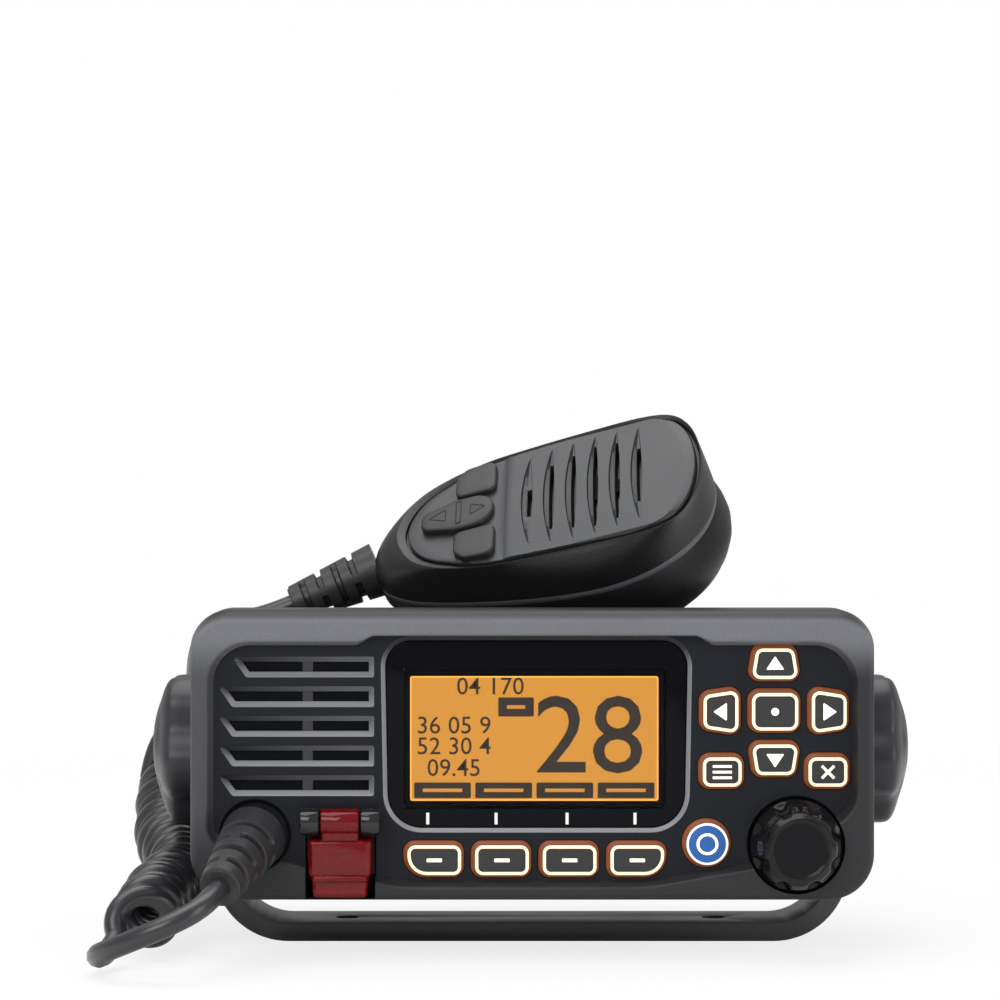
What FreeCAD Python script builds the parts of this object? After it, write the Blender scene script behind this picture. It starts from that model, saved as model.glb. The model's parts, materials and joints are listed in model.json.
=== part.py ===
import FreeCAD, Part

import math
import os
from typing import Callable

import Sketcher
from FreeCAD import Placement, Rotation, Vector

# A fixed-mount marine radio in its U bracket, with a fist microphone resting on the case and a
# curly cord between them. Lengths are millimetres and angles are degrees.
# Frame: the origin is on the mounting surface, midway between the bracket's two screws and under
# the tilt axis. X is to the right, Y goes back from the front panel, and Z is up.

# ----------------------------------------------------------------------------- driving sizes

SIZES: dict[str, float] = {
    # bracket, tilt axis and clamp knobs
    "tilt_height": 46.0,
    "bracket_width": 152.0,
    "bracket_thickness": 4.3,
    "bracket_depth": 25.0,
    "bracket_corner": 18.0,
    "bracket_screw_spacing": 88.8,
    "bracket_screw_hole": 5.8,
    "stud_diameter": 5.0,
    "pivot_clearance": 0.05,
    "stud_grip": 9.0,
    "washer_diameter": 16.0,
    "clamp_knob_diameter": 37.3,
    "clamp_knob_width": 15.7,
    "clamp_knob_dome": 3.4,
    "clamp_knob_valley": 9.6,
    "clamp_knob_valley_depth": 3.0,
    "clamp_knob_lobes": 5,
    "running_gap": 0.3,
    # front panel moulding
    "front_reach": 50.0,
    "panel_base": 14.0,
    "bezel_width": 156.5,
    "bezel_height": 66.4,
    "bezel_depth": 18.0,
    "bezel_top_radius": 9.0,
    "bezel_bottom_radius": 10.5,
    "bezel_edge": 1.7,
    "bezel_wall": 2.4,
    "rim_side": 4.0,
    "rim_top": 7.4,
    "rim_top_middle": 6.0,
    "rim_bottom": 3.0,
    "rim_bottom_left": 12.5,
    "rim_bottom_right": 20.0,
    "recess_radius": 9.5,
    "smile_left": -30.0,
    "smile_right": 26.0,
    "smile_radius": 40.0,
    "smile_left_radius": 6.0,
    "smile_right_radius": 9.0,
    "knee_x": 52.0,
    "knee_rise": 4.5,
    "knee_radius": 14.0,
    "shoulder_x": 0.6,
    "shoulder_half": 37.0,
    "shoulder_run": 3.4,
    "shoulder_radius": 2.5,
    "recess_depth": 3.0,
    "recess_draft": 22.0,
    "floor_thickness": 2.4,
    # speaker grille and loudspeaker
    "speaker_x": -54.2,
    "speaker_share": 0.5964,
    "slot_pitch": 6.8,
    "slot_count": 5,
    "slot_length": 35.8,
    "slot_opening": 2.3,
    "slot_bevel": 1.2,
    "slot_slant": 3.2,
    "bevel_draft": 42.0,
    "top_slot_trim": 3.2,
    "grille_rib": 2.6,
    "rib_offset": 2.6,
    "speaker_diameter": 34.0,
    "speaker_depth": 9.6,
    "basket_flange": 1.2,
    "magnet_share": 0.62,
    "magnet_depth": 4.0,
    "cone_margin": 4.0,
    "cone_depth": 3.6,
    "gasket_thickness": 1.0,
    "gasket_width": 2.0,
    # display
    "window_x": 0.95,
    "window_base": 16.2,
    "window_width": 69.7,
    "window_drop": 7.0,
    "window_lean": 0.8,
    "window_top_radius": 6.0,
    "window_bottom_radius": 8.0,
    "window_bevel": 1.2,
    "window_flange": 1.5,
    "window_thickness": 1.5,
    "lcd_width": 60.3,
    "lcd_height": 32.2,
    "lcd_x": 0.55,
    "lcd_share": 0.5527,
    "lcd_thickness": 2.4,
    "backlight_margin": 1.5,
    # keys
    "key_proud": 1.1,
    "key_gap": 0.25,
    "key_flange": 1.0,
    "key_flange_depth": 1.3,
    "key_edge": 0.5,
    "key_stem": 3.6,
    "key_travel": 0.8,
    "press_slack": 0.1,
    "key_radius": 2.0,
    "soft_key_x": 0.8,
    "soft_key_pitch": 15.5,
    "soft_key_height": 9.0,
    "soft_key_width": 12.7,
    "soft_key_depth": 7.2,
    "pad_x": 55.6,
    "pad_share": 0.6476,
    "pad_pitch_share": 0.1657,
    "pad_reach_side": 12.4,
    "enter_width": 11.0,
    "enter_depth": 9.0,
    "arrow_long": 11.3,
    "arrow_short": 8.9,
    "arrow_depth": 7.4,
    "side_arrow_long": 10.4,
    "side_arrow_short": 7.9,
    "side_arrow_depth": 8.4,
    "corner_key_reach": 12.1,
    "corner_key_drop_share": 0.2078,
    "corner_key_width": 9.3,
    "corner_key_depth": 7.1,
    "call_key_x": 40.1,
    "call_key_height": 12.7,
    "call_key_diameter": 10.0,
    # circuit boards and silicone sheet behind the keys
    "board_thickness": 1.6,
    "board_depth": 13.0,
    "board_left": -33.0,
    "board_margin": 1.5,
    "sheet_thickness": 1.2,
    "sheet_depth": 8.3,
    "sheet_margin": 1.0,
    # distress key, its cover and its hinge
    "distress_x": -43.9,
    "cover_width": 14.8,
    "cover_length": 14.4,
    "cover_height": 6.0,
    "cover_wall": 1.2,
    "cover_taper": 1.2,
    "cover_shoulder": 5.0,
    "cover_notch": 0.6,
    "cover_draft": 4.0,
    "cover_edge": 0.8,
    "bay_margin": 0.6,
    "bay_lip": 0.4,
    "hinge_height": 18.1,
    "hinge_diameter": 6.2,
    "hinge_length": 17.9,
    "hinge_stand": 1.4,
    "knuckle_length": 8.9,
    "hinge_pin": 2.4,
    "distress_key_size": 8.0,
    "distress_key_height": 7.6,
    "distress_switch_size": 7.0,
    # volume control
    "dial_x": 60.4,
    "dial_height": 12.5,
    "dial_skirt": 21.0,
    "dial_ring": 14.7,
    "dial_protrusion": 13.5,
    "dial_flutes": 8,
    "dial_flute_radius": 2.6,
    "dial_flute_depth": 1.1,
    "dial_well": 22.2,
    "dial_bush": 9.0,
    "dial_rim": 1.2,
    "dial_dish": 0.4,
    "shaft_diameter": 6.0,
    "encoder_size": 13.0,
    "encoder_height": 6.4,
    "plunger_diameter": 8.4,
    "plunger_travel": 0.5,
    "plunger_thickness": 0.8,
    # case
    "case_width": 140.0,
    "case_inset": 7.2,
    "case_depth": 86.7,
    "case_wall": 3.0,
    "case_radius": 4.0,
    "rear_wall": 8.0,
    "fin_pitch": 7.0,
    "fin_gap": 3.4,
    "fin_depth": 5.0,
    "fin_count": 5,
    "boss_diameter": 18.0,
    "boss_reach": 5.0,
    "connector_radius": 7.9,
    "connector_length": 15.0,
    "connector_bore": 4.6,
    "connector_flange": 22.0,
    "connector_flange_depth": 1.6,
    "connector_contact": 4.0,
    "gland_x": 26.0,
    "gland_diameter": 13.0,
    "gland_length": 3.0,
    "main_board_height": 34.0,
    "main_board_inset": 7.0,
    "main_board_setback": 3.0,
    "shield_x": 18.0,
    "shield_setback": 40.0,
    "shield_width": 46.0,
    "shield_depth": 34.0,
    "shield_height": 9.0,
    "shield_wall": 0.5,
    "screw_head": 5.6,
    "screw_head_height": 1.8,
    # microphone
    "mic_x": -37.0,
    "mic_y": 8.0,
    "mic_z": 88.6,
    "mic_roll": 35.0,
    "mic_lean": 13.0,
    "mic_tail_x": 24.5,
    "mic_tail_radius": 24.5,
    "mic_head_x": 57.5,
    "mic_head_radius": 29.0,
    "mic_front_height": 11.5,
    "mic_back_height": 19.0,
    "mic_wall": 2.6,
    "mic_edge_inset": 5.0,
    "mic_back_inset": 14.0,
    "mic_back_shift": 22.0,
    "seam_thickness": 1.6,
    "mic_slot_count": 6,
    "mic_slot_pitch": 5.6,
    "mic_slot_first": 39.3,
    "mic_slot_length": 41.0,
    "mic_slot_width": 2.8,
    "mic_slot_bow": 1.3,
    "mic_slot_steps": 5,
    "mic_key_x": 25.6,
    "mic_key_offset": 13.4,
    "mic_key_length": 10.0,
    "mic_key_width": 10.6,
    "mic_key_proud": 1.0,
    "rocker_x": 21.6,
    "rocker_length": 17.6,
    "rocker_width": 12.0,
    "mic_key_depth": 1.6,
    "talk_key_proud": 1.8,
    "talk_key_depth": 5.2,
    "talk_key_height": 8.0,
    "talk_key_drop": 1.0,
    "talk_key_start": 42.0,
    "talk_key_end": 112.0,
    "talk_key_travel": 1.3,
    "capsule_diameter": 9.7,
    "hanger_x": 46.0,
    "hanger_stem": 6.0,
    "hanger_stem_length": 1.6,
    "hanger_head": 11.0,
    "hanger_head_thickness": 1.6,
    "mic_screw_head": 5.0,
    "mic_screw_height": 1.0,
    # cords and their strain reliefs
    "cord_diameter": 5.0,
    "coil_diameter": 18.4,
    "loose_coil_diameter": 24.0,
    "boot_root": 15.0,
    "boot_tip": 9.2,
    "boot_ribs": 4,
    "groove_depth": 1.1,
    "groove_half": 1.1,
    "groove_floor_half": 0.7,
    "socket_x": -63.6,
    "socket_height": 14.6,
    "socket_diameter": 15.2,
    "mic_boot_root": 13.4,
    "mic_boot_tip": 9.0,
}

doc = FreeCAD.newDocument("marine_radio")
sheet = doc.addObject("Spreadsheet::Sheet", "Size")
for row, (alias, number) in enumerate(SIZES.items(), start=1):
    sheet.set(f"A{row}", alias.replace("_", " "))
    sheet.set(f"B{row}", f"{number:g}")
    sheet.setAlias(f"B{row}", alias)
doc.recompute()

FINISHED: list = []
Corner = tuple[str, str, str]


def value(expression: str) -> float:
    """The number that an expression on the sheet's sizes comes to."""
    return float(sheet.evalExpression(expression))


# ----------------------------------------------------------------------- places and directions

UPRIGHT = Rotation()
FACING_FRONT = Rotation(Vector(1, 0, 0), 90)
FACING_BACK = Rotation(Vector(0, 0, 1), 180) * FACING_FRONT
FACING_LEFT = Rotation(Vector(0, 1, 0), -90)
FACING_RIGHT = Rotation(Vector(0, 1, 0), 90)
MIC_TURN = (Rotation(Vector(0, 1, 0), -value("Size.mic_lean"))
            * Rotation(Vector(1, 0, 0), value("Size.mic_roll")))
MIC_PLACE = ("Size.mic_x", "Size.mic_y", "Size.mic_z")

PANEL_FLOOR = "-Size.recess_depth"
PANEL_BACK = "-(Size.recess_depth + Size.floor_thickness)"
PANEL_REAR = "-Size.bezel_depth"
SPEAKER_HEIGHT = "(Size.bezel_height * Size.speaker_share)"
LCD_MIDDLE = "(Size.bezel_height * Size.lcd_share)"
PAD_HEIGHT = "(Size.bezel_height * Size.pad_share)"
PAD_PITCH = "(Size.bezel_height * Size.pad_pitch_share)"
CORNER_KEY_HEIGHT = f"({PAD_HEIGHT} - Size.bezel_height * Size.corner_key_drop_share)"
KEY_FLANGE_TOP = f"({PANEL_BACK} - Size.running_gap)"
KEY_BASE = f"({KEY_FLANGE_TOP} - Size.key_flange_depth)"


def on_panel(x: str = "0", height: str = "0") -> tuple[str, str, str]:
    """A place on the front plane of the panel, from its middle and its lower edge."""
    return (x, "-Size.front_reach", f"Size.panel_base + {height}")


class Outline:
    """A sketch on one of a piece's origin planes, whose points are bound to the sheet."""

    def __init__(self, body, plane: str, lift: str) -> None:
        self.sketch = body.newObject("Sketcher::SketchObject", f"{body.Name}_outline")
        support = next(f for f in body.Origin.OriginFeatures if f.Role == plane)
        self.sketch.AttachmentSupport = [(support, "")]
        self.sketch.MapMode = "FlatFace"
        self.sketch.setExpression("AttachmentOffset.Base.z", lift)

    def bound(self, kind: str, where: tuple, expression: str) -> None:
        """Adds a dimension whose value is an expression on the sheet."""
        index = self.sketch.addConstraint(Sketcher.Constraint(kind, *where, value(expression)))
        self.sketch.setExpression(f"Constraints[{index}]", expression)

    def tie(self, kind: str, *where: int) -> None:
        """Adds a relation between two elements."""
        self.sketch.addConstraint(Sketcher.Constraint(kind, *where))

    def place(self, item: int, point: int, x: str, y: str) -> None:
        """Holds one point of an element at x and y from the sketch's origin."""
        self.bound("DistanceX", (-1, 1, item, point), x)
        self.bound("DistanceY", (-1, 1, item, point), y)

    def circle(self, x: str, y: str, diameter: str) -> "Outline":
        """A circle with its middle at x and y."""
        middle = Vector(value(x), value(y), 0)
        ring = Part.Circle(middle, Vector(0, 0, 1), value(diameter) / 2)
        item = self.sketch.addGeometry(ring)
        self.place(item, 3, x, y)
        self.bound("Radius", (item,), f"({diameter}) / 2")
        return self

    def polygon(self, corners: list[Corner]) -> "Outline":
        """A closed outline through corners given as x, y and rounding radius ('' if sharp)."""
        points = [Vector(value(x), value(y), 0) for x, y, _ in corners]
        count = len(points)
        entry, leave = list(points), list(points)
        arcs: dict[int, tuple[int, bool]] = {}
        for index, (_, _, radius) in enumerate(corners):
            if not radius:
                continue
            before = (points[index - 1] - points[index]).normalize()
            after = (points[(index + 1) % count] - points[index]).normalize()
            half = before.getAngle(after) / 2
            reach = value(radius) / math.tan(half)
            entry[index] = points[index] + before * reach
            leave[index] = points[index] + after * reach
            middle = points[index] + (before + after).normalize() * (value(radius) / math.sin(half))
            left_turn = before.cross(after).z < 0
            first, last = (entry, leave) if left_turn else (leave, entry)
            start = math.atan2(first[index].y - middle.y, first[index].x - middle.x)
            end = math.atan2(last[index].y - middle.y, last[index].x - middle.x)
            circle = Part.Circle(middle, Vector(0, 0, 1), value(radius))
            arcs[index] = (self.sketch.addGeometry(Part.ArcOfCircle(circle, start, end)), left_turn)
        lines = [self.sketch.addGeometry(Part.LineSegment(leave[i], entry[(i + 1) % count]))
                 for i in range(count)]
        for index, (x, y, radius) in enumerate(corners):
            arriving, leaving = lines[index - 1], lines[index]
            if not radius:
                self.tie("Coincident", arriving, 2, leaving, 1)
                self.place(leaving, 1, x, y)
                continue
            arc, left_turn = arcs[index]
            self.tie("Tangent", arriving, 2, arc, 1 if left_turn else 2)
            self.tie("Tangent", leaving, 1, arc, 2 if left_turn else 1)
            self.bound("Radius", (arc,), radius)
            apex = self.sketch.addGeometry(Part.Point(points[index]), True)
            self.place(apex, 1, x, y)
            self.tie("PointOnObject", apex, 1, arriving)
            self.tie("PointOnObject", apex, 1, leaving)
        return self

    def rectangle(self, x: str, y: str, width: str, depth: str, radius: str = "") -> "Outline":
        """A rectangle about the middle x, y, with rounded corners if a radius is given."""
        left, right = f"{x} - ({width}) / 2", f"{x} + ({width}) / 2"
        low, high = f"{y} - ({depth}) / 2", f"{y} + ({depth}) / 2"
        return self.polygon([(left, low, radius), (right, low, radius),
                             (right, high, radius), (left, high, radius)])

    def egg(self, inset: str, tail_shift: str = "0") -> "Outline":
        """The microphone's outline: a small and a large arc joined by tangents, set inwards."""
        tail_x, head_x = f"Size.mic_tail_x + {tail_shift}", "Size.mic_head_x"
        tail_radius, head_radius = f"Size.mic_tail_radius - {inset}", f"Size.mic_head_radius - {inset}"
        tail, head = Vector(value(tail_x), 0, 0), Vector(value(head_x), 0, 0)
        small, large = value(tail_radius), value(head_radius)
        lean = math.acos((small - large) / (head - tail).Length)
        touch = Vector(math.cos(lean), math.sin(lean), 0)
        mirror = Vector(touch.x, -touch.y, 0)
        up = Vector(0, 0, 1)
        big = self.sketch.addGeometry(Part.ArcOfCircle(Part.Circle(head, up, large), -lean, lean))
        little = self.sketch.addGeometry(
            Part.ArcOfCircle(Part.Circle(tail, up, small), lean, 2 * math.pi - lean))
        far = self.sketch.addGeometry(Part.LineSegment(head + touch * large, tail + touch * small))
        near = self.sketch.addGeometry(Part.LineSegment(tail + mirror * small, head + mirror * large))
        self.tie("Tangent", big, 2, far, 1)
        self.tie("Tangent", far, 2, little, 1)
        self.tie("Tangent", little, 2, near, 1)
        self.tie("Tangent", near, 2, big, 1)
        for arc, x, radius in ((big, head_x, head_radius), (little, tail_x, tail_radius)):
            self.tie("PointOnObject", arc, 3, -1)
            self.bound("DistanceX", (-1, 1, arc, 3), x)
            self.bound("Radius", (arc,), radius)
        return self

    def sector(self, inner: str, outer: str, start: str, end: str) -> "Outline":
        """A piece of a ring about the microphone's head, between two angles."""
        middle, up = Vector(value("Size.mic_head_x"), 0, 0), Vector(0, 0, 1)
        first, last = math.radians(value(start)), math.radians(value(end))
        ends = [Vector(math.cos(angle), math.sin(angle), 0) for angle in (first, last)]
        small, large = value(inner), value(outer)
        outside = self.sketch.addGeometry(Part.ArcOfCircle(Part.Circle(middle, up, large), first, last))
        inside = self.sketch.addGeometry(Part.ArcOfCircle(Part.Circle(middle, up, small), first, last))
        low = self.sketch.addGeometry(Part.LineSegment(middle + ends[0] * small, middle + ends[0] * large))
        high = self.sketch.addGeometry(Part.LineSegment(middle + ends[1] * small, middle + ends[1] * large))
        self.tie("Coincident", low, 1, inside, 1)
        self.tie("Coincident", low, 2, outside, 1)
        self.tie("Coincident", high, 1, inside, 2)
        self.tie("Coincident", high, 2, outside, 2)
        self.place(outside, 3, "Size.mic_head_x", "0")
        self.tie("Coincident", inside, 3, outside, 3)
        self.tie("PointOnObject", outside, 3, low)
        self.tie("PointOnObject", outside, 3, high)
        self.bound("Radius", (outside,), outer)
        self.bound("Radius", (inside,), inner)
        self.bound("Angle", (-1, 1, low, 1), start)
        self.bound("Angle", (-1, 1, high, 1), end)
        return self


class Piece:
    """One separate piece, as a PartDesign body with a label and a placement of its own."""

    def __init__(self, name: str, at: tuple[str, str, str], turn: Rotation = UPRIGHT) -> None:
        self.body = doc.addObject("PartDesign::Body", name)
        self.body.Label = name
        self.body.Placement = Placement(Vector(*(value(part) for part in at)), turn)
        for axis, expression in zip("xyz", at):
            self.body.setExpression(f"Placement.Base.{axis}", expression)
        FINISHED.append(self.body)

    def outline(self, lift: str = "0", plane: str = "XY_Plane") -> Outline:
        """An empty sketch, lifted along the plane's normal."""
        return Outline(self.body, plane, lift)

    def add(self, kind: str, drawing: Outline):
        """A feature of this body that is driven by a sketch."""
        feature = self.body.newObject(f"PartDesign::{kind}", f"{self.body.Name}_{kind.lower()}")
        feature.Profile = (drawing.sketch, [""])
        drawing.sketch.Visibility = False
        return feature

    def pad(self, drawing: Outline, length: str, draft: str = "", both_ways: bool = False):
        """Material from the sketch upwards; a draft draws the sides in."""
        feature = self.add("Pad", drawing)
        feature.setExpression("Length", length)
        if both_ways:
            feature.SideType = "Symmetric"
        if draft:
            feature.setExpression("TaperAngle", f"-({draft})")
        return feature

    def pocket(self, drawing: Outline, depth: str, upwards: bool = False, draft: str = "",
               both_ways: bool = False):
        """A cut from the sketch downwards, or upwards; a draft draws the walls in."""
        feature = self.add("Pocket", drawing)
        feature.setExpression("Length", depth)
        feature.Reversed = upwards
        if both_ways:
            feature.SideType = "Symmetric"
        if draft:
            feature.setExpression("TaperAngle", f"-({draft})")
        return feature

    def revolve(self, drawing: Outline, kind: str = "Revolution"):
        """A full turn of the sketch about its vertical axis."""
        feature = self.add(kind, drawing)
        feature.ReferenceAxis = (drawing.sketch, ["V_Axis"])
        feature.Angle = 360
        return feature

    def loft(self, drawings: list[Outline]):
        """Material that runs smoothly through several sketches."""
        feature = self.add("AdditiveLoft", drawings[0])
        feature.Sections = [(drawing.sketch, [""]) for drawing in drawings[1:]]
        return feature

    def around(self, feature, count: str):
        """Repeats a feature round the piece's own upright axis."""
        pattern = self.body.newObject("PartDesign::PolarPattern", f"{self.body.Name}_ring")
        pattern.Originals = [feature]
        pattern.Axis = (feature.Profile[0], ["N_Axis"])
        pattern.Angle = 360
        pattern.setExpression("Occurrences", count)
        self.body.Tip = pattern
        return pattern

    def along(self, feature, axis: str, length: str, count: str):
        """Repeats a feature in a row that is length long, along its sketch's axis."""
        pattern = self.body.newObject("PartDesign::LinearPattern", f"{self.body.Name}_row")
        pattern.Originals = [feature]
        pattern.Direction = (feature.Profile[0], [axis])
        pattern.setExpression("Length", length)
        pattern.setExpression("Occurrences", count)
        self.body.Tip = pattern
        return pattern

    def soften(self, kind: str, size: str, chosen: Callable[[object], bool]):
        """Fillets or chamfers the edges that a test picks."""
        doc.recompute()
        base = self.body.Tip
        names = [f"Edge{number}" for number, edge in enumerate(base.Shape.Edges, start=1)
                 if chosen(edge)]
        feature = self.body.newObject(f"PartDesign::{kind}", f"{self.body.Name}_{kind.lower()}")
        feature.Base = (base, names)
        feature.setExpression("Radius" if kind == "Fillet" else "Size", size)
        return feature


def edge_at(height: str) -> Callable[[object], bool]:
    """Picks the edges that lie level at a height of the piece's own frame."""
    level = value(height)
    return lambda edge: max(abs(edge.BoundBox.ZMin - level), abs(edge.BoundBox.ZMax - level)) < 0.01


# --------------------------------------------------------------------------------- bracket

BRACKET_OUTER = "Size.bracket_width / 2"
BRACKET_INNER = "(Size.bracket_width / 2 - Size.bracket_thickness)"
EAR_TOP = "Size.tilt_height + Size.bracket_depth / 2"


def mounting_bracket() -> None:
    """A bent strap: a flat base with two screw holes, and two ears with round tops."""
    piece = Piece("mounting_bracket", ("0", "0", "0"))
    inner_corner = "(Size.bracket_corner - Size.bracket_thickness)"
    strap = piece.outline(plane="XZ_Plane").polygon([
        (f"-{BRACKET_OUTER}", "0", "Size.bracket_corner"),
        (BRACKET_OUTER, "0", "Size.bracket_corner"),
        (BRACKET_OUTER, EAR_TOP, ""),
        (BRACKET_INNER, EAR_TOP, ""),
        (BRACKET_INNER, "Size.bracket_thickness", inner_corner),
        (f"-{BRACKET_INNER}", "Size.bracket_thickness", inner_corner),
        (f"-{BRACKET_INNER}", EAR_TOP, ""),
        (f"-{BRACKET_OUTER}", EAR_TOP, ""),
    ])
    piece.pad(strap, "Size.bracket_depth", both_ways=True)
    level = value(EAR_TOP)
    piece.soften("Fillet", "Size.bracket_depth / 2 - 0.1",
                 lambda edge: edge.BoundBox.ZMin > level - 0.01 and edge.BoundBox.YLength < 0.01)
    pivot = piece.outline(plane="YZ_Plane").circle(
        "0", "Size.tilt_height", "Size.stud_diameter + 2 * Size.pivot_clearance")
    piece.pocket(pivot, "Size.bracket_width + 2", both_ways=True)
    screws = piece.outline()
    for side in ("-", ""):
        screws.circle(f"{side}Size.bracket_screw_spacing / 2", "0", "Size.bracket_screw_hole")
    piece.pocket(screws, "Size.bracket_thickness + 1", upwards=True)


def side_washers() -> None:
    """Rubber washers between the case's bosses and the bracket's ears."""
    for side, turn, sign in (("left", FACING_LEFT, "-"), ("right", FACING_RIGHT, "")):
        piece = Piece(f"side_washer_{side}", (f"{sign}(Size.case_width / 2 + Size.running_gap / 2)",
                                              "0", "Size.tilt_height"), turn)
        ring = piece.outline().circle("0", "0", "Size.washer_diameter")
        ring.circle("0", "0", "Size.stud_diameter + 1")
        piece.pad(ring, f"{BRACKET_INNER} - Size.case_width / 2 - Size.running_gap")


def clamp_knobs() -> None:
    """Lobed plastic knobs, each on a threaded stud that runs into the case."""
    for side, turn, sign in (("left", FACING_LEFT, "-"), ("right", FACING_RIGHT, "")):
        place = (f"{sign}({BRACKET_OUTER} + Size.running_gap)", "0", "Size.tilt_height")
        knob = Piece(f"knob_{side}", place, turn)
        radius = "Size.clamp_knob_diameter / 2"
        shoulder = "Size.clamp_knob_width - Size.clamp_knob_dome"
        profile = knob.outline(plane="XZ_Plane").polygon([
            ("Size.stud_diameter / 2", "0", ""),
            (radius, "0", ""),
            (radius, shoulder, "4"),
            ("Size.clamp_knob_diameter * 0.3", "Size.clamp_knob_width", "8"),
            ("0", "Size.clamp_knob_width", ""),
            ("0", "Size.stud_grip", ""),
            ("Size.stud_diameter / 2", "Size.stud_grip", ""),
        ])
        knob.revolve(profile)
        reach = f"({radius} + Size.clamp_knob_valley - Size.clamp_knob_valley_depth)"
        valley = knob.outline("-1").circle("0", reach, "2 * Size.clamp_knob_valley")
        cut = knob.pocket(valley, "Size.clamp_knob_width + 2", upwards=True)
        knob.around(cut, "Size.clamp_knob_lobes")
        stud = Piece(f"knob_stud_{side}", place, turn)
        shank = stud.outline("Size.stud_grip").circle("0", "0", "Size.stud_diameter")
        inside = f"{BRACKET_OUTER} - Size.case_width / 2 + Size.case_wall + Size.boss_reach"
        length = stud.pad(shank, f"Size.stud_grip + {inside}")
        length.Reversed = True


# ------------------------------------------------------------------------------ front panel

RECESS_SIDE = "(Size.bezel_width / 2 - Size.rim_side)"
WINDOW_TOP = "Size.bezel_height - Size.window_drop"
RIB_X = "(Size.speaker_x + Size.rib_offset)"


def recess_outline(drawing: Outline) -> Outline:
    """The sunk face of the panel: wide shoulders, a raised middle and a smile below."""
    top, middle = "Size.bezel_height - Size.rim_top", "Size.bezel_height - Size.rim_top_middle"
    bend, corner = "Size.smile_radius", "Size.shoulder_radius"
    corners = [
        (f"-{RECESS_SIDE}", "Size.rim_bottom_left", "Size.smile_left_radius"),
        ("Size.smile_left", "Size.rim_bottom", bend),
        ("Size.smile_right", "Size.rim_bottom", bend),
        ("Size.knee_x", "Size.rim_bottom + Size.knee_rise", "Size.knee_radius"),
        (RECESS_SIDE, "Size.rim_bottom_right", "Size.smile_right_radius"),
        (RECESS_SIDE, top, "Size.recess_radius"),
        ("Size.shoulder_x + Size.shoulder_half + Size.shoulder_run", top, corner),
        ("Size.shoulder_x + Size.shoulder_half", middle, corner),
        ("Size.shoulder_x - Size.shoulder_half", middle, corner),
        ("Size.shoulder_x - Size.shoulder_half - Size.shoulder_run", top, corner),
        (f"-{RECESS_SIDE}", top, "Size.recess_radius"),
    ]
    return drawing.polygon(corners)


def window_outline(drawing: Outline, grow: str) -> Outline:
    """The display window's outline, grown by a margin."""
    half = f"(Size.window_width / 2 + {grow})"
    left, right = f"Size.window_x - {half}", f"Size.window_x + {half}"
    low, high = f"Size.window_base - ({grow})", f"{WINDOW_TOP} + {grow}"
    small, large = f"Size.window_top_radius + {grow}", f"Size.window_bottom_radius + {grow}"
    lean = "Size.window_lean"
    return drawing.polygon([(f"{left} + {lean}", low, large), (f"{right} - {lean}", low, large),
                            (right, high, small), (left, high, small)])


class Key:
    """A moulded key: its name, its middle on the panel and its outline about that middle."""

    def __init__(self, name: str, x: str, height: str, corners: list[Corner] | None = None) -> None:
        self.name, self.x, self.height, self.corners = name, x, height, corners

    def draw(self, drawing: Outline, grow: str, on_the_panel: bool = True) -> None:
        """Draws the key's outline, grown by a margin, about its own middle or the panel's."""
        x, y = (self.x, self.height) if on_the_panel else ("0", "0")
        if self.corners is None:
            drawing.circle(x, y, f"Size.call_key_diameter + 2 * ({grow})")
            return
        grown = []
        for corner_x, corner_y, radius in self.corners:
            side = "-" if value(corner_x) < 0 else "+"
            rise = "-" if value(corner_y) < 0 else "+"
            grown.append((f"{x} + {corner_x} {side} ({grow})", f"{y} + {corner_y} {rise} ({grow})",
                          radius))
        drawing.polygon(grown)


def trapezoid(low: str, high: str, depth: str) -> list[Corner]:
    """Corners of an upright trapezoid with its lower and upper widths."""
    return [(f"-({low}) / 2", f"-({depth}) / 2", "Size.key_radius"),
            (f"({low}) / 2", f"-({depth}) / 2", "Size.key_radius"),
            (f"({high}) / 2", f"({depth}) / 2", "Size.key_radius"),
            (f"-({high}) / 2", f"({depth}) / 2", "Size.key_radius")]


def side_arrow(left: str, right: str, depth: str) -> list[Corner]:
    """Corners of a key that is taller on one side than on the other."""
    return [(f"-({depth}) / 2", f"-({left}) / 2", "Size.key_radius"),
            (f"({depth}) / 2", f"-({right}) / 2", "Size.key_radius"),
            (f"({depth}) / 2", f"({right}) / 2", "Size.key_radius"),
            (f"-({depth}) / 2", f"({left}) / 2", "Size.key_radius")]


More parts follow.
